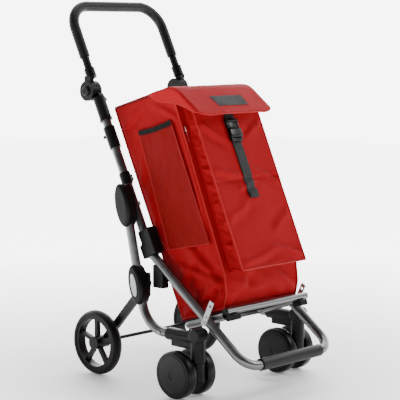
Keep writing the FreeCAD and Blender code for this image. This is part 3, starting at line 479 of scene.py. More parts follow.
def finish_piece(obj: bpy.types.Object, name: str, body: str, finish: Finish, slot: str,
                 smooth: float = 40.0) -> bpy.types.Object:
    """Names a new piece, gives it its finish and shading, and ties it to its body.

    Args:
        obj: the piece, already in place.
        name: its name.
        body: the CAD body that it moves with.
        finish: its surface finish.
        slot: the record's material slot; not used.
        smooth: the largest angle in degrees between faces that shade as one.

    Returns:
        The piece.
    """
    pick(obj)
    bpy.ops.object.transform_apply(location=True, rotation=True, scale=True)
    bpy.ops.object.mode_set(mode="EDIT")
    bpy.ops.mesh.select_all(action="SELECT")
    bpy.ops.mesh.remove_doubles(threshold=0.01 * MM)
    bpy.ops.mesh.normals_make_consistent(inside=False)
    bpy.ops.object.mode_set(mode="OBJECT")
    bpy.ops.object.shade_smooth_by_angle(angle=math.radians(smooth))
    obj.name = name
    obj.data.materials.clear()
    obj.data.materials.append(finish.material())
    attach(obj, body)
    LOG.info("%s: %d faces", name, len(obj.data.polygons))
    return obj


def apply_modifier(obj: bpy.types.Object, kind: str, **settings: object) -> bpy.types.Object:
    """Adds a modifier with the given settings and applies it at once."""
    pick(obj)
    made = obj.modifiers.new(kind.lower(), kind)
    for key, value in settings.items():
        setattr(made, key, value)
    bpy.ops.object.modifier_apply(modifier=made.name)
    return obj


def thicken(obj: bpy.types.Object, wall: float, offset: float = -1.0) -> bpy.types.Object:
    """Gives a sheet its wall thickness, inward of its faces by default."""
    return apply_modifier(obj, "SOLIDIFY", thickness=wall, offset=offset, use_even_offset=False)


def join(parts: Sequence[bpy.types.Object]) -> bpy.types.Object:
    """Joins several meshes into the first one."""
    pick(parts[0])
    for other in parts[1:]:
        other.select_set(True)
    bpy.ops.object.join()
    return parts[0]


def shaped_grid(columns: int, rows: int, place: Callable[[float, float], Vector],
                cloth: Point = (1.0, 1.0)) -> bpy.types.Object:
    """Makes a grid whose points are placed by a function of their two fractions.

    Args:
        columns: cells across.
        rows: cells up.
        place: point for the fractions across and up, each from 0 to 1.
        cloth: width and height of the flat cloth in metres, for the UV map.

    Returns:
        The sheet, one face thick.
    """
    bpy.ops.mesh.primitive_grid_add(x_subdivisions=columns, y_subdivisions=rows, size=1.0)
    obj = bpy.context.object
    for vert in obj.data.vertices:
        vert.co = place(min(1.0, max(0.0, vert.co.x + 0.5)), min(1.0, max(0.0, vert.co.y + 0.5)))
    layer = obj.data.uv_layers.active or obj.data.uv_layers.new()
    for corner in layer.data:
        corner.uv = (corner.uv[0] * cloth[0], corner.uv[1] * cloth[1])
    return obj


def tube(points: Sequence[Vector], radius: float, closed: bool = False,
         sides: int = 3) -> bpy.types.Object:
    """Sweeps a round cord through the points.

    Args:
        points: the line to follow.
        radius: half the cord's width.
        closed: whether the line returns to its start.
        sides: resolution of the round section.

    Returns:
        The cord as a mesh.
    """
    bpy.ops.curve.primitive_nurbs_path_add()
    obj = bpy.context.object
    obj.data.splines.clear()
    spline = obj.data.splines.new("POLY")
    spline.points.add(len(points) - 1)
    for point, where in zip(spline.points, points):
        point.co = (*where, 1.0)
    spline.use_cyclic_u = closed
    obj.data.bevel_depth = radius
    obj.data.bevel_resolution = sides
    obj.data.use_fill_caps = True
    pick(obj)
    bpy.ops.object.convert(target="MESH")
    return bpy.context.object


def turned(profile: Sequence[Point], centre: Vector, axis: Vector, steps: int = 64,
           closed: bool = True) -> bpy.types.Object:
    """Spins an outline round an axis.

    Args:
        profile: (distance along the axis, radius) points of the outline.
        centre: where the axis starts.
        axis: unit direction of the axis.
        steps: facets round the axis.
        closed: whether the outline's last point joins its first.

    Returns:
        The turned solid.
    """
    bpy.ops.mesh.primitive_circle_add(vertices=max(3, len(profile)), radius=1.0)
    obj = bpy.context.object
    side = axis.orthogonal().normalized()
    for vert, (along, radius) in zip(obj.data.vertices, profile):
        vert.co = centre + axis * along + side * radius
    bpy.ops.object.mode_set(mode="EDIT")
    if not closed:
        drop_closing_edge(obj)
    bpy.ops.mesh.select_all(action="SELECT")
    bpy.ops.mesh.spin(steps=steps, angle=math.tau, center=centre, axis=axis)
    bpy.ops.mesh.select_all(action="SELECT")
    bpy.ops.mesh.remove_doubles(threshold=0.005 * MM)
    bpy.ops.mesh.normals_make_consistent(inside=False)
    bpy.ops.object.mode_set(mode="OBJECT")
    return obj


def drop_closing_edge(obj: bpy.types.Object) -> None:
    """Removes the edge between an outline's last and first points."""
    bpy.ops.mesh.select_all(action="DESELECT")
    bpy.ops.mesh.select_mode(type="EDGE")
    bpy.ops.object.mode_set(mode="OBJECT")
    last = len(obj.data.vertices) - 1
    for edge in obj.data.edges:
        edge.select = set(edge.vertices) == {0, last}
    bpy.ops.object.mode_set(mode="EDIT")
    bpy.ops.mesh.delete(type="EDGE")
    bpy.ops.mesh.select_mode(type="VERT")


def hull(node: str) -> list[Point]:
    """Corners of a node's side outline in (y, z), walked round from the lowest."""
    spots = sorted({(round(v.co.y, 4), round(v.co.z, 4)) for v in NODES[node].data.vertices})
    halves = []
    for run in (spots, spots[::-1]):
        chain: list[Point] = []
        for spot in run:
            while len(chain) > 1 and turn_of(chain[-2], chain[-1], spot) <= 1e-8:
                chain.pop()
            chain.append(spot)
        halves.append(chain[:-1])
    return halves[0] + halves[1]


def long_edges(node: str) -> list[tuple[Vector, Vector]]:
    """The two longest edges of a node's side outline, front one first, each from low to high."""
    ring = [Vector((0.0, y, z)) for y, z in hull(node)]
    edges = sorted(zip(ring, ring[1:] + ring[:1]), key=lambda e: (e[1] - e[0]).length)[-2:]
    edges.sort(key=lambda e: e[0].y + e[1].y)
    return [tuple(sorted(edge, key=lambda p: p.z)) for edge in edges]


def turn_of(first: Point, second: Point, third: Point) -> float:
    """Positive where three points turn left."""
    return ((second[0] - first[0]) * (third[1] - first[1])
            - (second[1] - first[1]) * (third[0] - first[0]))


def along_line(points: Sequence[Vector], share: float) -> Vector:
    """Point at a share of the length of a run of straight lines."""
    lengths = [(b - a).length for a, b in zip(points, points[1:])]
    left = share * sum(lengths)
    for start, end, length in zip(points, points[1:], lengths):
        if left <= length + 1e-9:
            return start.lerp(end, left / length if length else 0.0)
        left -= length
    return points[-1].copy()


def ease(value: float, low: float, high: float) -> float:
    """Smooth step from 0 at low to 1 at high."""
    share = min(1.0, max(0.0, (value - low) / (high - low)))
    return share * share * (3 - 2 * share)


def wave(x: float, y: float, z: float = 0.0) -> float:
    """Smooth random value of about -1 to 1 at a place."""
    return noise.noise(Vector((x, y, z)))


# ------------------------------------------------------------------ studio
@dataclass
class Studio:
    """Pale room, soft lamps and the camera."""

    azimuth: float = -46.05
    elevation: float = 6.74
    distance: float = 3.8689
    lens: float = 126.6
    target: tuple[float, float, float] = (0.0, -0.009, 0.4881)
    room: float = 14.0
    dim: float = 0.05
    bright: float = 7.0

    def build(self) -> None:
        """Makes the floor, lamps, sky light and camera."""
        bpy.ops.mesh.primitive_grid_add(x_subdivisions=40, y_subdivisions=40, size=self.room)
        floor = bpy.context.object
        floor.name = "studio_floor"
        floor.data.materials.append(Finishes.FLOOR.material())
        self.world()
        self.lamp("key", (2.2, -2.6, 3.0), 0.9, 84.0)
        self.lamp("side", (-3.2, 0.9, 2.6), 0.8, 14.0)
        self.lamp("top", (0.3, 0.2, 3.3), 1.2, 26.0)
        self.lamp("rim", (-1.6, 3.0, 1.9), 0.6, 26.0)
        self.camera()

    def world(self) -> None:
        """Sets a pale sky that is brightest behind the trolley and dim behind the camera."""
        world = bpy.data.worlds.new("studio")
        bpy.context.scene.world = world
        world.use_nodes = True
        graph = Graph(world.node_tree)
        turn = math.radians(self.azimuth)
        ahead = graph.add("VectorMath", {"operation": "DOT_PRODUCT"},
                          n0=graph.add("TexCoord").outputs["Object"],
                          n1=(-math.sin(turn), math.cos(turn), 0.0))
        sky = world.node_tree.nodes["Background"]
        sky.inputs["Color"].default_value = (1.0, 1.0, 1.0, 1.0)
        graph.feed(sky.inputs["Strength"], graph.span(ahead.outputs["Value"], 0.25, 0.9, self.dim,
                                                      self.bright))

    def lamp(self, name: str, where: tuple[float, float, float], size: float, power: float) -> None:
        """Adds one square soft lamp that faces the trolley."""
        bpy.ops.object.light_add(type="AREA", location=where)
        lamp = bpy.context.object
        lamp.name = name
        lamp.data.size = size
        lamp.data.energy = power
        aim = Vector(self.target) - Vector(where)
        lamp.rotation_euler = aim.to_track_quat("-Z", "Y").to_euler()

    def camera(self) -> None:
        """Places the camera on its view direction."""
        turn, rise = math.radians(self.azimuth), math.radians(self.elevation)
        away = Vector((math.sin(turn) * math.cos(rise), -math.cos(turn) * math.cos(rise), math.sin(rise)))
        spot = Vector(self.target) + away * self.distance
        bpy.ops.object.camera_add(location=spot)
        camera = bpy.context.object
        camera.rotation_euler = (-away).to_track_quat("-Z", "Y").to_euler()
        camera.data.lens = self.lens
        camera.data.sensor_width = 36.0
        bpy.context.scene.camera = camera


# ------------------------------------------------------------------ finishes on the CAD pieces
@dataclass
class HardParts:
    """CAD pieces that keep their shape, and moulded ones whose edges are rounded."""

    voxel: float = 1.3 * MM
    moulded: tuple[tuple[str, int], ...] = (
        ("saddle_block_left", 14), ("saddle_block_right", 14), ("frame_catches", 12),
        ("castor_housing_left", 16), ("castor_housing_right", 16), ("platform_corners", 10),
        ("knee_lugs", 10),
    )

    def dress(self) -> None:
        """Gives every CAD node the finish of its material slot."""
        slots = {
            "silver_tube": Finishes.SILVER, "black_tube": Finishes.BLACK_TUBE,
            "black_leg": Finishes.BLACK_TUBE,
            "black_steel": Finishes.BLACK_TUBE, "soft_grip": Finishes.FOAM,
            "black_plastic": Finishes.PLASTIC,
            "push_button": Finishes.GLOSS, "grey_plate": Finishes.GREY, "pin_steel": Finishes.STEEL,
            "deck_board": Finishes.BOARD, "bag_fabric": Finishes.BAG, "flap_fabric": Finishes.FLAP,
            "mesh_net": Finishes.NET, "webbing": Finishes.WEBBING, "buckle_plastic": Finishes.GLOSS,
            "zip_metal": Finishes.BRIGHT, "tyre_rubber": Finishes.TYRE, "rim_plastic": Finishes.PLASTIC,
            "castor_plastic": Finishes.WHEEL,
        }
        named = slot_of_nodes()
        for name, node in NODES.items():
            node.data.materials.clear()
            node.data.materials.append(slots[named[name]].material())
            LOG.info("dressed %s", name)
        self.soften(slots, named)
        self.plug_bar()

    def soften(self, slots: dict[str, Finish], named: dict[str, str]) -> None:
        """Replaces the blocky moulded fittings by copies with the round edges of a moulding.

        Args:
            slots: finish of each material slot.
            named: material slot of each node.
        """
        for name, passes in self.moulded:
            copy = NODES[name].copy()
            copy.data = NODES[name].data.copy()
            bpy.context.collection.objects.link(copy)
            copy.parent = None
            apply_modifier(copy, "WELD", merge_threshold=0.01 * MM)
            apply_modifier(copy, "REMESH", mode="VOXEL", voxel_size=self.voxel)
            apply_modifier(copy, "SMOOTH", factor=0.5, iterations=passes)
            body = body_of(NODES[name])
            body = body[0] if isinstance(body, (list, tuple)) else body
            made = finish_piece(copy, name + "_moulded", body, slots[named[name]], named[name], 60.0)
            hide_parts(name)

    def plug_bar(self) -> None:
        """Closes both ends of the platform's front bar with plastic plugs."""
        low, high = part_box("platform_bar")
        middle, radius = (low + high) / 2, (high.z - low.z) / 2
        ring = [(0.0, 0.0), (0.0, radius * 0.86), (-1.0 * MM, radius * 1.02), (-3.0 * MM, radius * 1.02),
                (-4.2 * MM, radius * 0.8), (-4.8 * MM, 0.0)]
        for side, sign in SIDES:
            end = Vector((high.x if sign > 0 else low.x, middle.y, middle.z))
            plug = turned([(a, r) for a, r in ring], end, Vector((-sign, 0, 0)), 32, False)
            finish_piece(plug, "platform_bar_plug_" + side, "base", Finishes.PLASTIC, "black_plastic")


def slot_of_nodes() -> dict[str, str]:
    """Material slot of every node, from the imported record."""
    return {part["node"]: part["material_slot"] for part in frame["record"]["subparts"]}


# ------------------------------------------------------------------ soft goods
@dataclass(frozen=True)
class Crease:
    """One fold of the cloth: a ridge with a hollow beside it, along a line on a panel.

    The line's ends are (across, up) shares of the panel; width and depth are in metres.
    """

    start: Point
    end: Point
    width: float
    depth: float

    def lift(self, across: float, up: float, wide: float, tall: float) -> float:
        """Height of the fold at a place on a panel of the given size."""
        first = Vector((self.start[0] * wide, self.start[1] * tall))
        last = Vector((self.end[0] * wide, self.end[1] * tall))
        here = Vector((across * wide, up * tall))
        run = last - first
        share = (here - first).dot(run) / run.length_squared
        if not -0.15 < share < 1.15:
            return 0.0
        bow = 0.12 * self.width * math.sin(9.0 * share + self.start[0] * 7)
        side = ((here - first).cross(run)) / run.length + bow
        fade = ease(share, -0.12, 0.2) * (1.0 - ease(share, 0.7, 1.12))
        near = side / self.width
        return self.depth * fade * (math.exp(-near * near) - 0.75 * math.exp(-(near - 1.5) ** 2))


def rumple(creases: Sequence[Crease], across: float, up: float, wide: float, tall: float,
           seed: float) -> float:
    """Height of all the folds and the fine unevenness at a place on a panel."""
    high = sum(crease.lift(across, up, wide, tall) for crease in creases)
    broad = wave(across * wide * 9 + seed, up * tall * 7, seed) * 1.6 * MM
    close = wave(across * wide * 38 + seed, up * tall * 22, seed + 5) * 0.5 * MM
    return high + broad + close


@dataclass
class Outline:
    """Corners of the bag's side view, read from the frame, as points with x 0."""

    def __post_init__(self) -> None:
        """Reads and names the corners."""
        ring = [Vector((0.0, y, z)) for y, z in hull("bag_body")]
        self.deck_back = min(ring, key=lambda p: p.z)
        self.top_back = max(ring, key=lambda p: p.y)
        self.ridge = max(ring, key=lambda p: p.z)
        front = [p for p in ring if p.y < self.deck_back.y - 0.05 and p is not self.ridge]
        self.front = sorted(front, key=lambda p: p.z) + [self.ridge]
        self.lean = (self.top_back - self.deck_back).normalized()
        self.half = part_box("bag_body")[1].x

    def squash(self, obj: bpy.types.Object) -> bpy.types.Object:
        """Gives a soft piece its own copy of its mesh."""
        tuple(self.lean)
        tuple(self.deck_back)
        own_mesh(obj)
        return obj


@dataclass
class Bag:
    """Body of the bag: side, front and back panels, bottom, mouth hem and piping."""

    outline: Outline
    corner: float = 13 * MM
    wall: float = 1.4 * MM
    columns: int = 208
    rows: int = 132
    reach: tuple[float, ...] = (4 * MM, 9.5 * MM, 7 * MM, 9.5 * MM, 4 * MM)
    side_creases: tuple[Crease, ...] = (
        Crease((0.02, 0.00), (0.98, 0.15), 0.011, 0.0120),
        Crease((0.99, 0.02), (0.42, 0.36), 0.014, 0.0125),
        Crease((0.97, 0.11), (0.26, 0.24), 0.009, 0.0090),
        Crease((0.88, 0.00), (0.60, 0.20), 0.009, 0.0080),
        Crease((0.60, 0.00), (0.78, 0.14), 0.008, 0.0065),
        Crease((0.03, 0.12), (0.72, 0.31), 0.012, 0.0070),
        Crease((0.30, 0.00), (0.52, 0.12), 0.009, 0.0060),
        Crease((0.03, 0.42), (0.24, 0.27), 0.010, 0.0045),
        Crease((0.02, 0.62), (0.22, 0.74), 0.009, 0.0036),
        Crease((0.99, 0.86), (0.60, 0.975), 0.010, 0.0040),
        Crease((0.04, 0.90), (0.52, 0.985), 0.010, 0.0034),
        Crease((0.84, 0.30), (0.985, 0.62), 0.008, 0.0050),
        Crease((0.93, 0.52), (0.985, 0.88), 0.007, 0.0040),
        Crease((0.02, 0.30), (0.13, 0.60), 0.008, 0.0035),
    )
    front_creases: tuple[Crease, ...] = (
        Crease((0.00, 0.02), (0.36, 0.18), 0.015, 0.0060),
        Crease((0.02, 0.13), (0.58, 0.05), 0.015, 0.0060),
        Crease((0.28, 0.18), (0.82, 0.03), 0.017, 0.0055),
        Crease((1.00, 0.02), (0.60, 0.17), 0.015, 0.0060),
    )

    def build(self) -> None:
        """Makes the shell, bottom, hem and piping."""
        tall = (self.outline.top_back - self.outline.deck_back).length
        shell = shaped_grid(self.columns, self.rows, self.place, (0.96, tall))
        thicken(shell, self.wall)
        finish_piece(shell, "bag_shell", "base", Finishes.BAG, "bag_fabric", 60.0)
        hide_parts("bag_body")
        self.outline.squash(shell)
        for made in (self.bottom(), self.lining(), self.hem(), *self.piping()):
            self.outline.squash(made)

    def section(self, up: float) -> tuple[Vector, Vector]:
        """Front and back middle points of the bag at a share of its height."""
        front = along_line(self.outline.front, up)
        back = self.outline.deck_back.lerp(self.outline.top_back, up)
        return front, back

    def place(self, around: float, up: float, out: float = 0.0, folds: bool = True) -> Vector:
        """Point on the bag's skin.

        Args:
            around: share of the way round, from the back's middle past the left side and the front.
            up: share of the height.
            out: metres outwards of the skin.
            folds: whether the creases are laid on.

        Returns:
            The point.
        """
        front, back = self.section(up)
        deep, half = (front - back).length, self.outline.half - 1.0 * MM
        forward = (front - back) / deep
        corners = [(0.0, 0.0), (-half, 0.0), (-half, deep), (half, deep), (half, 0.0), (0.0, 0.0)]
        shares = [0.0, 0.125, 0.375, 0.625, 0.875, 1.0]
        leg = max(i for i in range(5) if around >= shares[i] - 1e-9)
        part = (around - shares[leg]) / (shares[leg + 1] - shares[leg])
        start, end = Vector(corners[leg]), Vector(corners[leg + 1])
        flat = start.lerp(end, part)
        length = (end - start).length
        for near, spot, other in ((part * length, start, corners[leg - 1]),
                                  ((1 - part) * length, end, corners[(leg + 2) % 6])):
            if near < self.corner and spot.length > 1 * MM:
                along_here = (flat - spot).normalized() if near > 1e-6 else Vector((0.0, 0.0))
                reach = (near + self.corner) / (2 * self.corner)
                arm = (Vector(other) - spot).normalized() * self.corner * (1 - reach) ** 2
                flat = spot + along_here * self.corner * reach * reach + arm
        sag = math.sin(math.pi * up) if leg in (1, 3) else 0.0
        normal = [Vector((0, 1, 0)), Vector((-1, 0, 0)), Vector((0, -1, 0)), Vector((1, 0, 0)),
                  Vector((0, 1, 0))][leg]
        fade = ease(part * length, 0.0, 0.02) * ease((1 - part) * length, 0.0, 0.02) if leg in (1, 2,
                                                                                                3) else 0.3
        lift = out + fade * self.relief(leg, part, up, deep) * (1.0 if folds else 0.0)
        lift += 1.5 * MM * sag * math.sin(math.pi * part)
        lift = self.reach[leg] * math.tanh(lift / self.reach[leg])
        return back + forward * flat.y + Vector((flat.x, 0, 0)) + normal * lift

    def relief(self, leg: int, part: float, up: float, deep: float) -> float:
        """Height of the folds on one of the shell's panels."""
        ends = ease(up, 0.0, 0.03) * (1.0 - 0.85 * ease(up, 0.90, 1.0))
        if leg == 1:
            return ends * rumple(self.side_creases, part, up, deep, 0.6, 1.0)
        if leg == 3:
            return ends * rumple(self.side_creases, 1.0 - part, up, deep, 0.6, 4.0)
        if leg == 2:
            return ends * rumple(self.front_creases, part, up, 0.28, 0.6, 7.0)
        return rumple((), part, up, 0.14, 0.6, 9.0)

    def bottom(self) -> bpy.types.Object:
        """Panel under the bag, on the platform."""
        low_front, half = self.outline.front[0], self.outline.half - 3 * MM

        def lay(across: float, along: float) -> Vector:
            spot = low_front.lerp(self.outline.deck_back, along)
            return spot + Vector((half * (2 * across - 1), 0, 0.4 * MM))

        panel = thicken(shaped_grid(24, 16, lay, (0.28, 0.16)), self.wall, 1.0)
        return finish_piece(panel, "bag_bottom", "base", Finishes.BAG, "bag_fabric")

    def lining(self) -> bpy.types.Object:
        """Drawn-in lining that closes the bag under the flap."""
        def lay(across: float, along: float) -> Vector:
            front, back = self.section(0.955)
            spot = front.lerp(back, along)
            sides = (1 - abs(2 * across - 1) ** 6) * (1 - abs(2 * along - 1) ** 6)
            dip = 0.035 * sides + 0.006 * wave(across * 6, along * 5, 3.0) * sides
            return spot + Vector(((self.outline.half - 5 * MM) * (2 * across - 1), 0, -dip))

        sheet = thicken(shaped_grid(40, 32, lay, (0.28, 0.22)), 0.8 * MM)
        return finish_piece(sheet, "bag_lining", "base", Finishes.LINING, "bag_fabric", 60.0)

    def hem(self) -> bpy.types.Object:
        """Dark binding round the bag's mouth."""
        steps = 160
        ring = [self.place(i / steps, 1.0, -0.4 * MM, False) for i in range(steps)]
        band = tube(ring, 2.4 * MM, closed=True)
        return finish_piece(band, "bag_mouth_binding", "base", Finishes.LINING, "bag_fabric")

    def piping(self) -> list[bpy.types.Object]:
        """Sewn cord down each front and back edge and round the foot of the bag."""
        made = []
        for name, around in (("front_left", 0.375), ("front_right", 0.625),
                             ("back_left", 0.125), ("back_right", 0.875)):
            line = [self.place(around, i / 90, 0.0, False) for i in range(91)]
            out = Vector((line[0].x, -1.0 if "front" in name else 1.0, 0))
            shift = Vector((math.copysign(1.0, out.x), out.y, 0)).normalized() * 1.5 * MM
            line = [p + shift for p in line]
            cord = tube(line, 1.9 * MM)
            made.append(finish_piece(cord, "bag_piping_" + name, "base", Finishes.PIPING, "bag_fabric"))
        steps = 160
        foot = [self.place(i / steps, 0.012, 1.0 * MM, False) for i in range(steps)]
        made.append(finish_piece(tube(foot, 1.9 * MM, closed=True), "bag_piping_foot", "base",
                                 Finishes.PIPING, "bag_fabric"))
        return made


@dataclass
class FrontPocket:
    """Deep pocket on the bag's front with crumpled gussets, seams and piping."""

    outline: Outline
    gusset: float = 0.14
    low_share: float = 0.10
    top_share: float = 0.93
    seam_rise: float = 0.545
    creases: tuple[Crease, ...] = (
        Crease((0.02, 0.02), (0.64, 0.10), 0.010, 0.0050),
        Crease((0.99, 0.03), (0.52, 0.13), 0.010, 0.0045),
        Crease((0.03, 0.62), (0.44, 0.56), 0.010, 0.0040),
        Crease((0.97, 0.50), (0.60, 0.62), 0.010, 0.0034),
        Crease((0.02, 0.30), (0.46, 0.42), 0.013, 0.0034),
        Crease((0.98, 0.32), (0.62, 0.20), 0.012, 0.0034),
        Crease((0.02, 0.92), (0.38, 0.78), 0.011, 0.0040),
        Crease((0.98, 0.90), (0.66, 0.80), 0.010, 0.0034),
        Crease((0.30, 0.48), (0.62, 0.53), 0.008, 0.0028),
    )

    def __post_init__(self) -> None:
        """Reads the pocket's corners from the frame."""
        face, back = long_edges("front_pocket")
        self.low, self.top = (face[0], back[0]), (face[1], back[1])
        self.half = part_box("front_pocket")[1].x - 0.5 * MM
        self.down = (self.low[0] - self.top[0]).normalized()
        self.normal = Vector((1, 0, 0)).cross(self.down).normalized()
        if self.normal.y > 0:
            self.normal = -self.normal

    def place(self, across: float, up: float, folds: bool = True) -> Vector:
        """Point on the pocket's skin, from its seam with the bag outwards."""
        side = min(1.0, min(across, 1 - across) / self.gusset)
        low = min(1.0, up / self.low_share)
        top = min(1.0, (1 - up) / (1 - self.top_share))
        part = min(1.0, max(0.0, (across - self.gusset) / (1 - 2 * self.gusset)))
        rise = min(1.0, max(0.0, (up - self.low_share) / (self.top_share - self.low_share)))
        depth = min(side, low, top)
        back = self.low[1].lerp(self.top[1], rise)
        face = self.low[0].lerp(self.top[0], rise)
        round_off = 1 - (1 - depth) ** 1.6
        spot = back.lerp(face, depth if depth < 0.6 else 0.6 + 0.4 * (depth - 0.6) / 0.4)
        x = self.half * (2 * part - 1)
        crown = math.sin(math.pi * part) ** 0.7 * math.sin(math.pi * min(1, max(0, rise))) ** 0.7
        spot = spot + Vector((x, 0, 0)) + self.normal * (0.0 if depth < 0.999 else 1.8 * MM * crown)
        if not folds:
            return spot
        if depth < 0.999:
            waist = math.sin(math.pi * depth)
            inward = Vector((-math.copysign(1.0, x), 0,
                             0)) if side <= low and side <= top else Vector((0, 0, 1))
            crumple = (0.0070 + 0.0110 * wave(rise * 19, 2.0 + math.copysign(1, x), depth * 1.6)
                       + 0.0050 * wave(rise * 43, 8.0, depth * 2.4))
            spot += inward * waist * max(-0.001, crumple) * round_off
        else:
            edge = ease(part, 0, 0.07) * ease(1 - part, 0, 0.07) * ease(rise, 0, 0.05) * ease(1 - rise,
                                                                                              0, 0.05)
            spot += self.normal * edge * rumple(self.creases, part, rise, 0.25, 0.42, 12.0)
            spot -= self.normal * self.tuck(rise) * ease(part, 0.0, 0.03) * ease(1 - part, 0.0, 0.03)
        return spot

    def height(self, spot: Vector) -> float:
        """Rise of the pocket's front along its normal, under a point given in the frame."""
        tall = (self.top[0] - self.low[0]).length
        rise = 1 - (spot - self.top[0]).dot(self.down) / tall
        part = (spot.x / self.half + 1) / 2
        up = self.low_share + (self.top_share - self.low_share) * min(1.0, max(0.0, rise))
        return self.place(self.gusset + (1 - 2 * self.gusset) * part, up).dot(self.normal)

    def tuck(self, rise: float) -> float:
        """Depth of the seams that cross the pocket's front."""
        seam = 2.6 * MM * math.exp(-((rise - self.seam_rise) / 0.008) ** 2)
        under = 1.6 * MM * ease(rise, self.seam_rise - 0.09, self.seam_rise) * (rise < self.seam_rise)
        return seam + under


    def build(self) -> None:
        """Makes the pocket's skin, its piping and its stitched seam."""
        skin = shaped_grid(150, 150, self.place, (0.36, 0.52))
        thicken(skin, 1.4 * MM)
        finish_piece(skin, "pocket_skin", "base", Finishes.BAG, "bag_fabric", 60.0)
        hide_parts("front_pocket")
        self.outline.squash(skin)
        for made in self.trim():
            self.outline.squash(made)

    def trim(self) -> list[bpy.types.Object]:
        """Piping round the front face and double stitching along the cross seam."""
        edge = self.gusset
        ups = [self.low_share + (self.top_share - self.low_share) * i / 60 for i in range(61)]
        acrosses = [edge + (1 - 2 * edge) * i / 40 for i in range(41)]
        ring = ([self.place(edge, u, False) for u in ups] + [self.place(a, ups[-1],
                                                                        False) for a in acrosses[1:]]
                + [self.place(1 - edge, u, False) for u in ups[-2::-1]]
                + [self.place(a, ups[0], False) for a in acrosses[-2:0:-1]])
        cord = finish_piece(tube(ring, 1.8 * MM, closed=True), "pocket_piping", "base",
                            Finishes.PIPING, "bag_fabric")
        made = [cord]
        for shift in (-5 * MM, 4 * MM):
            made.append(self.stitches(shift))
        return made

    def stitches(self, shift: float) -> bpy.types.Object:
        """One row of stitches beside the cross seam."""
        rise = self.low_share + (self.top_share - self.low_share) * self.seam_rise
        tall = (self.top[0] - self.low[0]).length
        level = rise + shift / tall
        parts = []
        for i in range(58):
            part = 0.03 + 0.94 * i / 57
            first = self.place(self.gusset + (1 - 2 * self.gusset) * part, level)
            last = self.place(self.gusset + (1 - 2 * self.gusset) * (part + 0.010), level)
            parts.append(tube([first + self.normal * 0.5 * MM, last + self.normal * 0.5 * MM],
                              0.35 * MM, sides=0))
        name = "pocket_stitches_" + ("low" if shift < 0 else "high")
        return finish_piece(join(parts), name, "base", Finishes.THREAD, "bag_fabric")


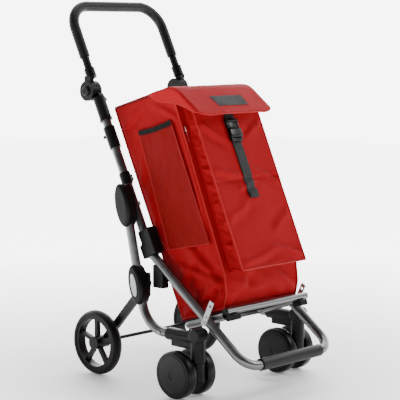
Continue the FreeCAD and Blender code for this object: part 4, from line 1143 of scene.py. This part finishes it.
@dataclass
class Flap:
    """Lid of the bag: one curved sheet with bound edges and a blank patch."""

    outline: Outline
    rear_half: float = 0.1365
    front_half: float = 0.1395
    roll: float = 6.0 * MM
    hang: float = 32 * MM
    round_front: float = 0.040
    wall: float = 2.2 * MM

    def __post_init__(self) -> None:
        """Reads the flap's line from the frame."""
        ring = [Vector((0.0, y, z)) for y, z in hull("flap")]
        self.rear = max(ring, key=lambda p: p.y)
        self.ridge = max(ring, key=lambda p: p.z)
        self.front = min(ring, key=lambda p: p.y)
        bend, steps = 0.030, 12
        before = self.ridge + (self.rear - self.ridge).normalized() * bend
        after = self.ridge + (self.front - self.ridge).normalized() * bend
        curve = [before.lerp(self.ridge, t / steps).lerp(self.ridge.lerp(after, t / steps), t / steps)
                 for t in range(steps + 1)]
        self.line = [self.rear] + curve + [self.front]
        self.length = sum((b - a).length for a, b in zip(self.line, self.line[1:]))

    def edge(self, side: float, along: float) -> tuple[float, float]:
        """Distance out from the middle and drop below the top, across the rolled-over edge.

        Args:
            side: share of the way from the middle (0) to either edge (-1 or 1).
            along: share of the length from the rear.

        Returns:
            The signed distance from the middle and the drop, in metres.
        """
        flat = self.rear_half + (self.front_half - self.rear_half) * ease(along, 0.34, 0.50)
        over = ease(along, 0.34, 0.50)
        hang = self.hang * math.exp(-((along - 0.64) / 0.19) ** 2) * over
        turn = self.roll * math.pi / 2 * over
        whole = flat + turn + hang
        left = (1 - along) * self.length
        if left < self.round_front:
            gone = self.round_front - left
            whole -= self.round_front - math.sqrt(max(0.0, self.round_front ** 2 - gone ** 2))
        reach = abs(side) * whole
        if reach <= flat or over < 0.01:
            return math.copysign(reach, side), 0.0
        angle = min((reach - flat) / self.roll, math.pi / 2)
        out = flat + self.roll * math.sin(angle)
        drop = self.roll * (1 - math.cos(angle)) + max(0.0, reach - flat - self.roll * math.pi / 2)
        return math.copysign(out, side), drop

    def place(self, across: float, along: float) -> Vector:
        """Point on the flap's upper face."""
        spot = along_line(self.line, along)
        ahead = along_line(self.line, min(1.0, along + 0.01))
        behind = along_line(self.line, max(0.0, along - 0.01))
        normal = (ahead - behind).normalized().cross(Vector((1, 0, 0)))
        if normal.z < 0 and along < 0.5 or normal.y > 0 and along >= 0.5:
            normal = -normal
        side = 2 * across - 1
        out, drop = self.edge(side, along)
        crown = 3.0 * MM * (1 - side * side)
        waves = 1.5 * MM * wave(across * 3.1, along * 2.4, 21.0) + 1.1 * MM * wave(across * 9,
                                                                                   along * 6, 4.0)
        sag = -3.0 * MM * math.exp(-((along - 0.62) / 0.08) ** 2) * (1 - side * side)
        return spot + Vector((out, 0, -drop)) + normal * (crown + (waves + sag) * (1 - abs(side) ** 6))

    def build(self) -> None:
        """Makes the sheet, its binding and patch."""
        sheet = thicken(shaped_grid(110, 120, self.place, (0.28, self.length)), self.wall)
        finish_piece(sheet, "flap_sheet", "flap", Finishes.FLAP, "flap_fabric", 60.0)
        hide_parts("flap")
        self.outline.squash(sheet)
        edge = ([self.place(0.0, i / 70) for i in range(71)] + [self.place(i / 30,
                                                                           1.0) for i in range(1, 31)]
                + [self.place(1.0, i / 70) for i in range(70, -1, -1)])
        low = Vector((0, 0, -self.wall / 2))
        binding = tube([p + low for p in edge], 2.0 * MM)
        finish_piece(binding, "flap_binding", "flap", Finishes.BINDING, "flap_fabric")
        self.outline.squash(binding)
        self.outline.squash(self.patch())

    def patch(self) -> bpy.types.Object:
        """Blank black patch sewn on the flap's front."""
        def lay(across: float, up: float) -> Vector:
            spot = self.place(0.32 + 0.38 * across, 0.925 - 0.115 * up)
            return spot + (Vector((0, -1, 0.9))).normalized() * 2.4 * MM

        sheet = thicken(shaped_grid(40, 10, lay, (0.11, 0.03)), 1.2 * MM, 0.0)
        apply_modifier(sheet, "BEVEL", width=0.4 * MM, segments=2, limit_method="ANGLE")
        return finish_piece(sheet, "flap_patch", "flap", Finishes.PATCH, "flap_fabric")


# ------------------------------------------------------------------ smaller soft goods
@dataclass
class NetPocket:
    """Flat net pocket on the bag's left side with an elastic top band."""

    outline: Outline
    clear: float = 1.6 * MM
    band: float = 14 * MM

    def __post_init__(self) -> None:
        """Reads the pocket's corners from the frame, in order round its edge."""
        face, back = long_edges("side_pocket")
        self.low, self.high = (face[0], back[0]), (face[1], back[1])
        self.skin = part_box("side_pocket")[0].x + 2.2 * MM

    def place(self, across: float, up: float) -> Vector:
        """Point on the net, from its front edge to its rear edge and from its foot to its band."""
        first = self.low[0].lerp(self.high[0], up)
        last = self.low[1].lerp(self.high[1], up)
        spot = first.lerp(last, across)
        if up > 0.0:
            spot = spot + Vector((0, 0, -0.004 * math.sin(math.pi * across) * up ** 3))
        swell = math.sin(math.pi * across) * (0.35 + 0.65 * up)
        slant = across * 5 + up * 7
        folds = 2.6 * MM * wave(slant, up * 2 - across, 31.0) + 1.0 * MM * wave(across * 11, up * 9, 33.0)
        edge = ease(across, 0, 0.06) * ease(1 - across, 0, 0.06) * ease(up, 0, 0.05)
        return Vector((self.skin - (1.6 * MM * swell + folds) * edge, spot.y, spot.z))

    def build(self) -> None:
        """Makes the net, its band and its bound edges."""
        net = thicken(shaped_grid(60, 80, self.place, (0.20, 0.36)), 0.7 * MM, 1.0)
        finish_piece(net, "net_pocket", "base", Finishes.NET, "mesh_net", 60.0)
        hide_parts("side_pocket")
        tall = (self.high[0] - self.low[0]).length
        deep = self.band / tall

        def lay(across: float, up: float) -> Vector:
            pucker = 0.35 * MM * math.sin(across * 150)
            return self.place(across, 1 - deep * (1 - up)) + Vector((-1.1 * MM - pucker, 0, 0))

        band = thicken(shaped_grid(120, 6, lay, (0.2, self.band)), 1.6 * MM)
        finish_piece(band, "net_pocket_band", "base", Finishes.ELASTIC, "webbing", 60.0)
        edge = ([self.place(0.0, 1 - i / 40) for i in range(41)] + [self.place(i / 30,
                                                                               0.0) for i in range(1, 31)]
                + [self.place(1.0, i / 40) for i in range(1, 41)])
        cord = finish_piece(tube(edge, 1.5 * MM), "net_pocket_edge", "base", Finishes.BINDING, "bag_fabric")
        for made in (net, band, cord):
            self.outline.squash(made)


@dataclass
class Fastening:
    """Webbing strap and side-release buckle between the flap and the pocket."""

    outline: Outline
    pocket: FrontPocket
    thick: float = 1.6 * MM

    def __post_init__(self) -> None:
        """Reads the strap's places from the frame."""
        self.down, self.normal = self.pocket.down, self.pocket.normal
        self.half = (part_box("strap_tail")[1].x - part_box("strap_tail")[0].x) / 2 - 1 * MM
        self.middle = (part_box("strap_tail")[1].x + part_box("strap_tail")[0].x) / 2

    def span(self, node: str) -> tuple[Vector, float, float, float]:
        """A node's extent in the pocket front's own directions.

        Args:
            node: the node's name.

        Returns:
            A point at its upper end, its length down the pocket and its nearest and farthest rise.
        """
        spots = [v.co for v in NODES[node].data.vertices]
        runs = [spot.dot(self.down) for spot in spots]
        rises = [spot.dot(self.normal) for spot in spots]
        low, base = min(runs), min(rises)
        start = self.down * low + self.normal * base
        return Vector((self.middle, start.y, start.z)), max(runs) - low, base, max(rises) - base

    def strip(self, name: str, start: Vector, length: float, body: str, rise: Callable[[float], float],
              half: float, thick: float) -> bpy.types.Object:
        """Lays a strip of webbing down the pocket's front.

        Args:
            name: the piece's name.
            start: middle of its upper end.
            length: how far it runs down.
            body: the body it rides on.
            rise: height over the start line for the share of the length.
            half: half of its width.
            thick: its thickness.

        Returns:
            The strip.
        """
        def lay(across: float, along: float) -> Vector:
            wavy = 0.4 * MM * wave(along * 5, across * 2, half * 90)
            spot = start + Vector((half * (2 * across - 1), 0, 0)) + self.down * (length * along)
            under = self.pocket.height(spot) - spot.dot(self.normal)
            return spot + self.normal * (max(0.0, under + 2.2 * MM) + rise(along) + wavy)

        sheet = thicken(shaped_grid(12, 60, lay, (2 * half, length)), thick, 1.0)
        apply_modifier(sheet, "BEVEL", width=0.35 * MM, segments=2, limit_method="ANGLE")
        piece = finish_piece(sheet, name, body, Finishes.WEBBING, "webbing")
        self.outline.squash(piece)
        return piece

    def build(self) -> None:
        """Makes both straps, the stitched end and the two buckle halves."""
        start, length, _, _ = self.span("strap_tail")
        tail = self.strip("webbing_tail", start, length, "base",
                          lambda s: 0.4 * MM + 1.4 * MM * math.sin(5 * s),
                          self.half * 0.9, self.thick)
        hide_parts("strap_tail")
        fold = start + self.down * (length - 0.024)
        self.strip("webbing_fold", fold, 0.024, "base", lambda s: 2.4 * MM + 1.2 * MM * s, self.half * 0.9,
                   self.thick)
        self.stitched(fold)
        start, length, _, _ = self.span("strap_upper")
        upper = self.strip("webbing_upper", start, length, "flap", lambda s: 0.3 * MM, self.half * 0.9,
                           self.thick)
        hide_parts("strap_upper")
        self.buckle()

    def stitched(self, spot: Vector) -> None:
        """Sews a box of thread over the folded end."""
        parts = []
        for row in range(2):
            for i in range(8):
                x = (-0.36 + 0.09 * i) * 2 * self.half
                level = self.down * (6 + 9 * row) * MM
                first = spot + Vector((x, 0, 0)) + level
                under = self.pocket.height(first) - first.dot(self.normal)
                first += self.normal * (max(0.0, under + 2.2 * MM) + 4.3 * MM)
                parts.append(tube([first, first + Vector((0.10 * self.half, 0, 0))], 0.4 * MM, sides=0))
        piece = finish_piece(join(parts), "webbing_stitches", "base", Finishes.ELASTIC, "webbing")
        self.outline.squash(piece)

    def block(self, origin: Vector, low: Vector, high: Vector, radius: float) -> bpy.types.Object:
        """Rounded block in the strap's directions: across, down the pocket, and out of it."""
        bpy.ops.mesh.primitive_cube_add(size=1.0)
        obj = bpy.context.object
        for vert in obj.data.vertices:
            share = [(low[i] + high[i]) / 2 + vert.co[i] * (high[i] - low[i]) for i in range(3)]
            vert.co = origin + Vector((share[0], 0, 0)) + self.down * share[1] + self.normal * share[2]
        pick(obj)
        bpy.ops.object.mode_set(mode="EDIT")
        bpy.ops.mesh.select_all(action="SELECT")
        bpy.ops.mesh.normals_make_consistent(inside=False)
        bpy.ops.object.mode_set(mode="OBJECT")
        return apply_modifier(obj, "BEVEL", width=radius, segments=3, limit_method="ANGLE")

    def buckle(self) -> None:
        """Makes the prong half on the flap and the socket half on the pocket."""
        start, length, _, high = self.span("buckle_upper")
        half = (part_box("buckle_upper")[1].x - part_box("buckle_upper")[0].x) / 2 - 0.5 * MM
        bar = self.block(start, Vector((-half, 0, 0)), Vector((half, 0.007, high * 0.8)), 1.6 * MM)
        neck = self.block(start, Vector((-half * 0.62, 0.005, high * 0.15)),
                          Vector((half * 0.62, length, high * 0.7)), 1.4 * MM)
        arms = [self.block(start, Vector((side * half - 3.5 * MM, 0.004, high * 0.1)),
                           Vector((side * half + 3.5 * MM, length * 0.92, high * 0.72)), 1.5 * MM)
                for side in (-0.86, 0.86)]
        prong = finish_piece(join([bar, neck, *arms]), "buckle_prong", "flap", Finishes.GLOSS,
                             "buckle_plastic")
        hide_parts("buckle_upper")
        start, length, _, high = self.span("buckle_lower")
        body = self.block(start, Vector((-half, 0, 0)), Vector((half, length * 0.72, high)), 2.6 * MM)
        ribs = [self.block(start, Vector((-half * 0.5, length * at, high * 0.96)),
                           Vector((half * 0.5, length * at + 1.6 * MM, high + 0.7 * MM)), 0.5 * MM)
                for at in (0.14, 0.26, 0.38)]
        ladder = [self.block(start, Vector((-half * 0.92, length * at, 0.5 * MM)),
                             Vector((half * 0.92, length * at + 4 * MM, high * 0.7)), 1.2 * MM)
                  for at in (0.80, 0.94)]
        rails = [self.block(start, Vector((side * half * 0.84 - 2 * MM, length * 0.68, 0.5 * MM)),
                            Vector((side * half * 0.84 + 2 * MM, length, high * 0.72)), 1.2 * MM)
                 for side in (-1, 1)]
        socket = finish_piece(join([body, *ribs, *ladder, *rails]), "buckle_socket", "base", Finishes.GLOSS,
                              "buckle_plastic")
        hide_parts("buckle_lower")
        self.outline.squash(prong)
        self.outline.squash(socket)


# ------------------------------------------------------------------ wheels and small hard detail
@dataclass
class CastorWheels:
    """Domed twin wheels with fine rings near the rim."""

    steps: int = 96

    def build(self) -> None:
        """Makes the four wheels."""
        for side, sign in SIDES:
            for where in ("outer", "inner"):
                self.wheel("castor_wheel_%s_%s" % (side, where), sign if where == "outer" else -sign)

    def wheel(self, node: str, outward: int) -> None:
        """Makes one wheel in the place of its CAD node."""
        low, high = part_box(node)
        centre, radius, wide = (low + high) / 2, (high.z - low.z) / 2, high.x - low.x
        centre.x = low.x if outward > 0 else high.x
        face = wide - 0.3 * MM
        ring = [(1.5 * MM, 9 * MM), (1.5 * MM, radius * 0.80), (0.6 * MM, radius * 0.86),
                (1.6 * MM, radius * 0.95),
                (5 * MM, radius * 0.992), (9 * MM, radius), (wide - 12 * MM, radius),
                (wide - 7 * MM, radius * 0.985), (wide - 4 * MM, radius * 0.95)]
        ring += self.groove(wide - 3.2 * MM, radius * 0.915) + self.groove(wide - 2.2 * MM, radius * 0.80)
        ring += [(wide - 1.2 * MM, radius * 0.62), (face, radius * 0.4), (face, radius * 0.17),
                 (face - 1.2 * MM, radius * 0.155), (face - 1.2 * MM, 0.0)]
        made = turned(ring, centre, Vector((outward, 0, 0)), self.steps, False)
        finish_piece(made, node + "_domed", node, Finishes.WHEEL, "castor_plastic", 32.0)
        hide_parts(node)

    @staticmethod
    def groove(along: float, radius: float) -> list[Point]:
        """Outline of a fine ring cut into the wheel's face."""
        return [(along, radius + 0.9 * MM), (along - 1.1 * MM, radius + 0.5 * MM),
                (along - 1.1 * MM, radius - 0.5 * MM), (along + 0.1 * MM, radius - 0.9 * MM)]


@dataclass
class HandleTrim:
    """Rings round the tilt buttons."""

    def build(self) -> None:
        """Makes the trim on both sides."""
        for side, sign in SIDES:
            low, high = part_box("tilt_button_" + side)
            centre, radius = (low + high) / 2, (high.z - low.z) / 2
            outer = high.x if sign > 0 else low.x
            hub = Vector((outer, centre.y, centre.z))
            ring = [(0.2 * MM, radius * 0.55), (0.9 * MM, radius * 0.60), (0.9 * MM, radius * 0.70),
                    (0.2 * MM, radius * 0.76), (-0.6 * MM, radius * 0.76), (-0.6 * MM, radius * 0.55)]
            made = turned(ring, hub, Vector((sign, 0, 0)), 48)
            finish_piece(made, "tilt_button_ring_" + side, "tilt_button_" + side, Finishes.GLOSS,
                         "push_button")


def main() -> None:
    """Builds the trolley's looks in order and logs each piece."""
    logging.basicConfig(level=logging.INFO, format="%(message)s")
    bpy.ops.object.select_all(action="DESELECT")
    Studio().build()
    HardParts().dress()
    outline = Outline()
    Bag(outline).build()
    pocket = FrontPocket(outline)
    pocket.build()
    Flap(outline).build()
    NetPocket(outline).build()
    Fastening(outline, pocket).build()
    CastorWheels().build()
    HandleTrim().build()
    for name in ("zip_slider", "zip_pull"):
        outline.squash(bpy.data.objects[name])


if __name__ == "__main__":
    main()
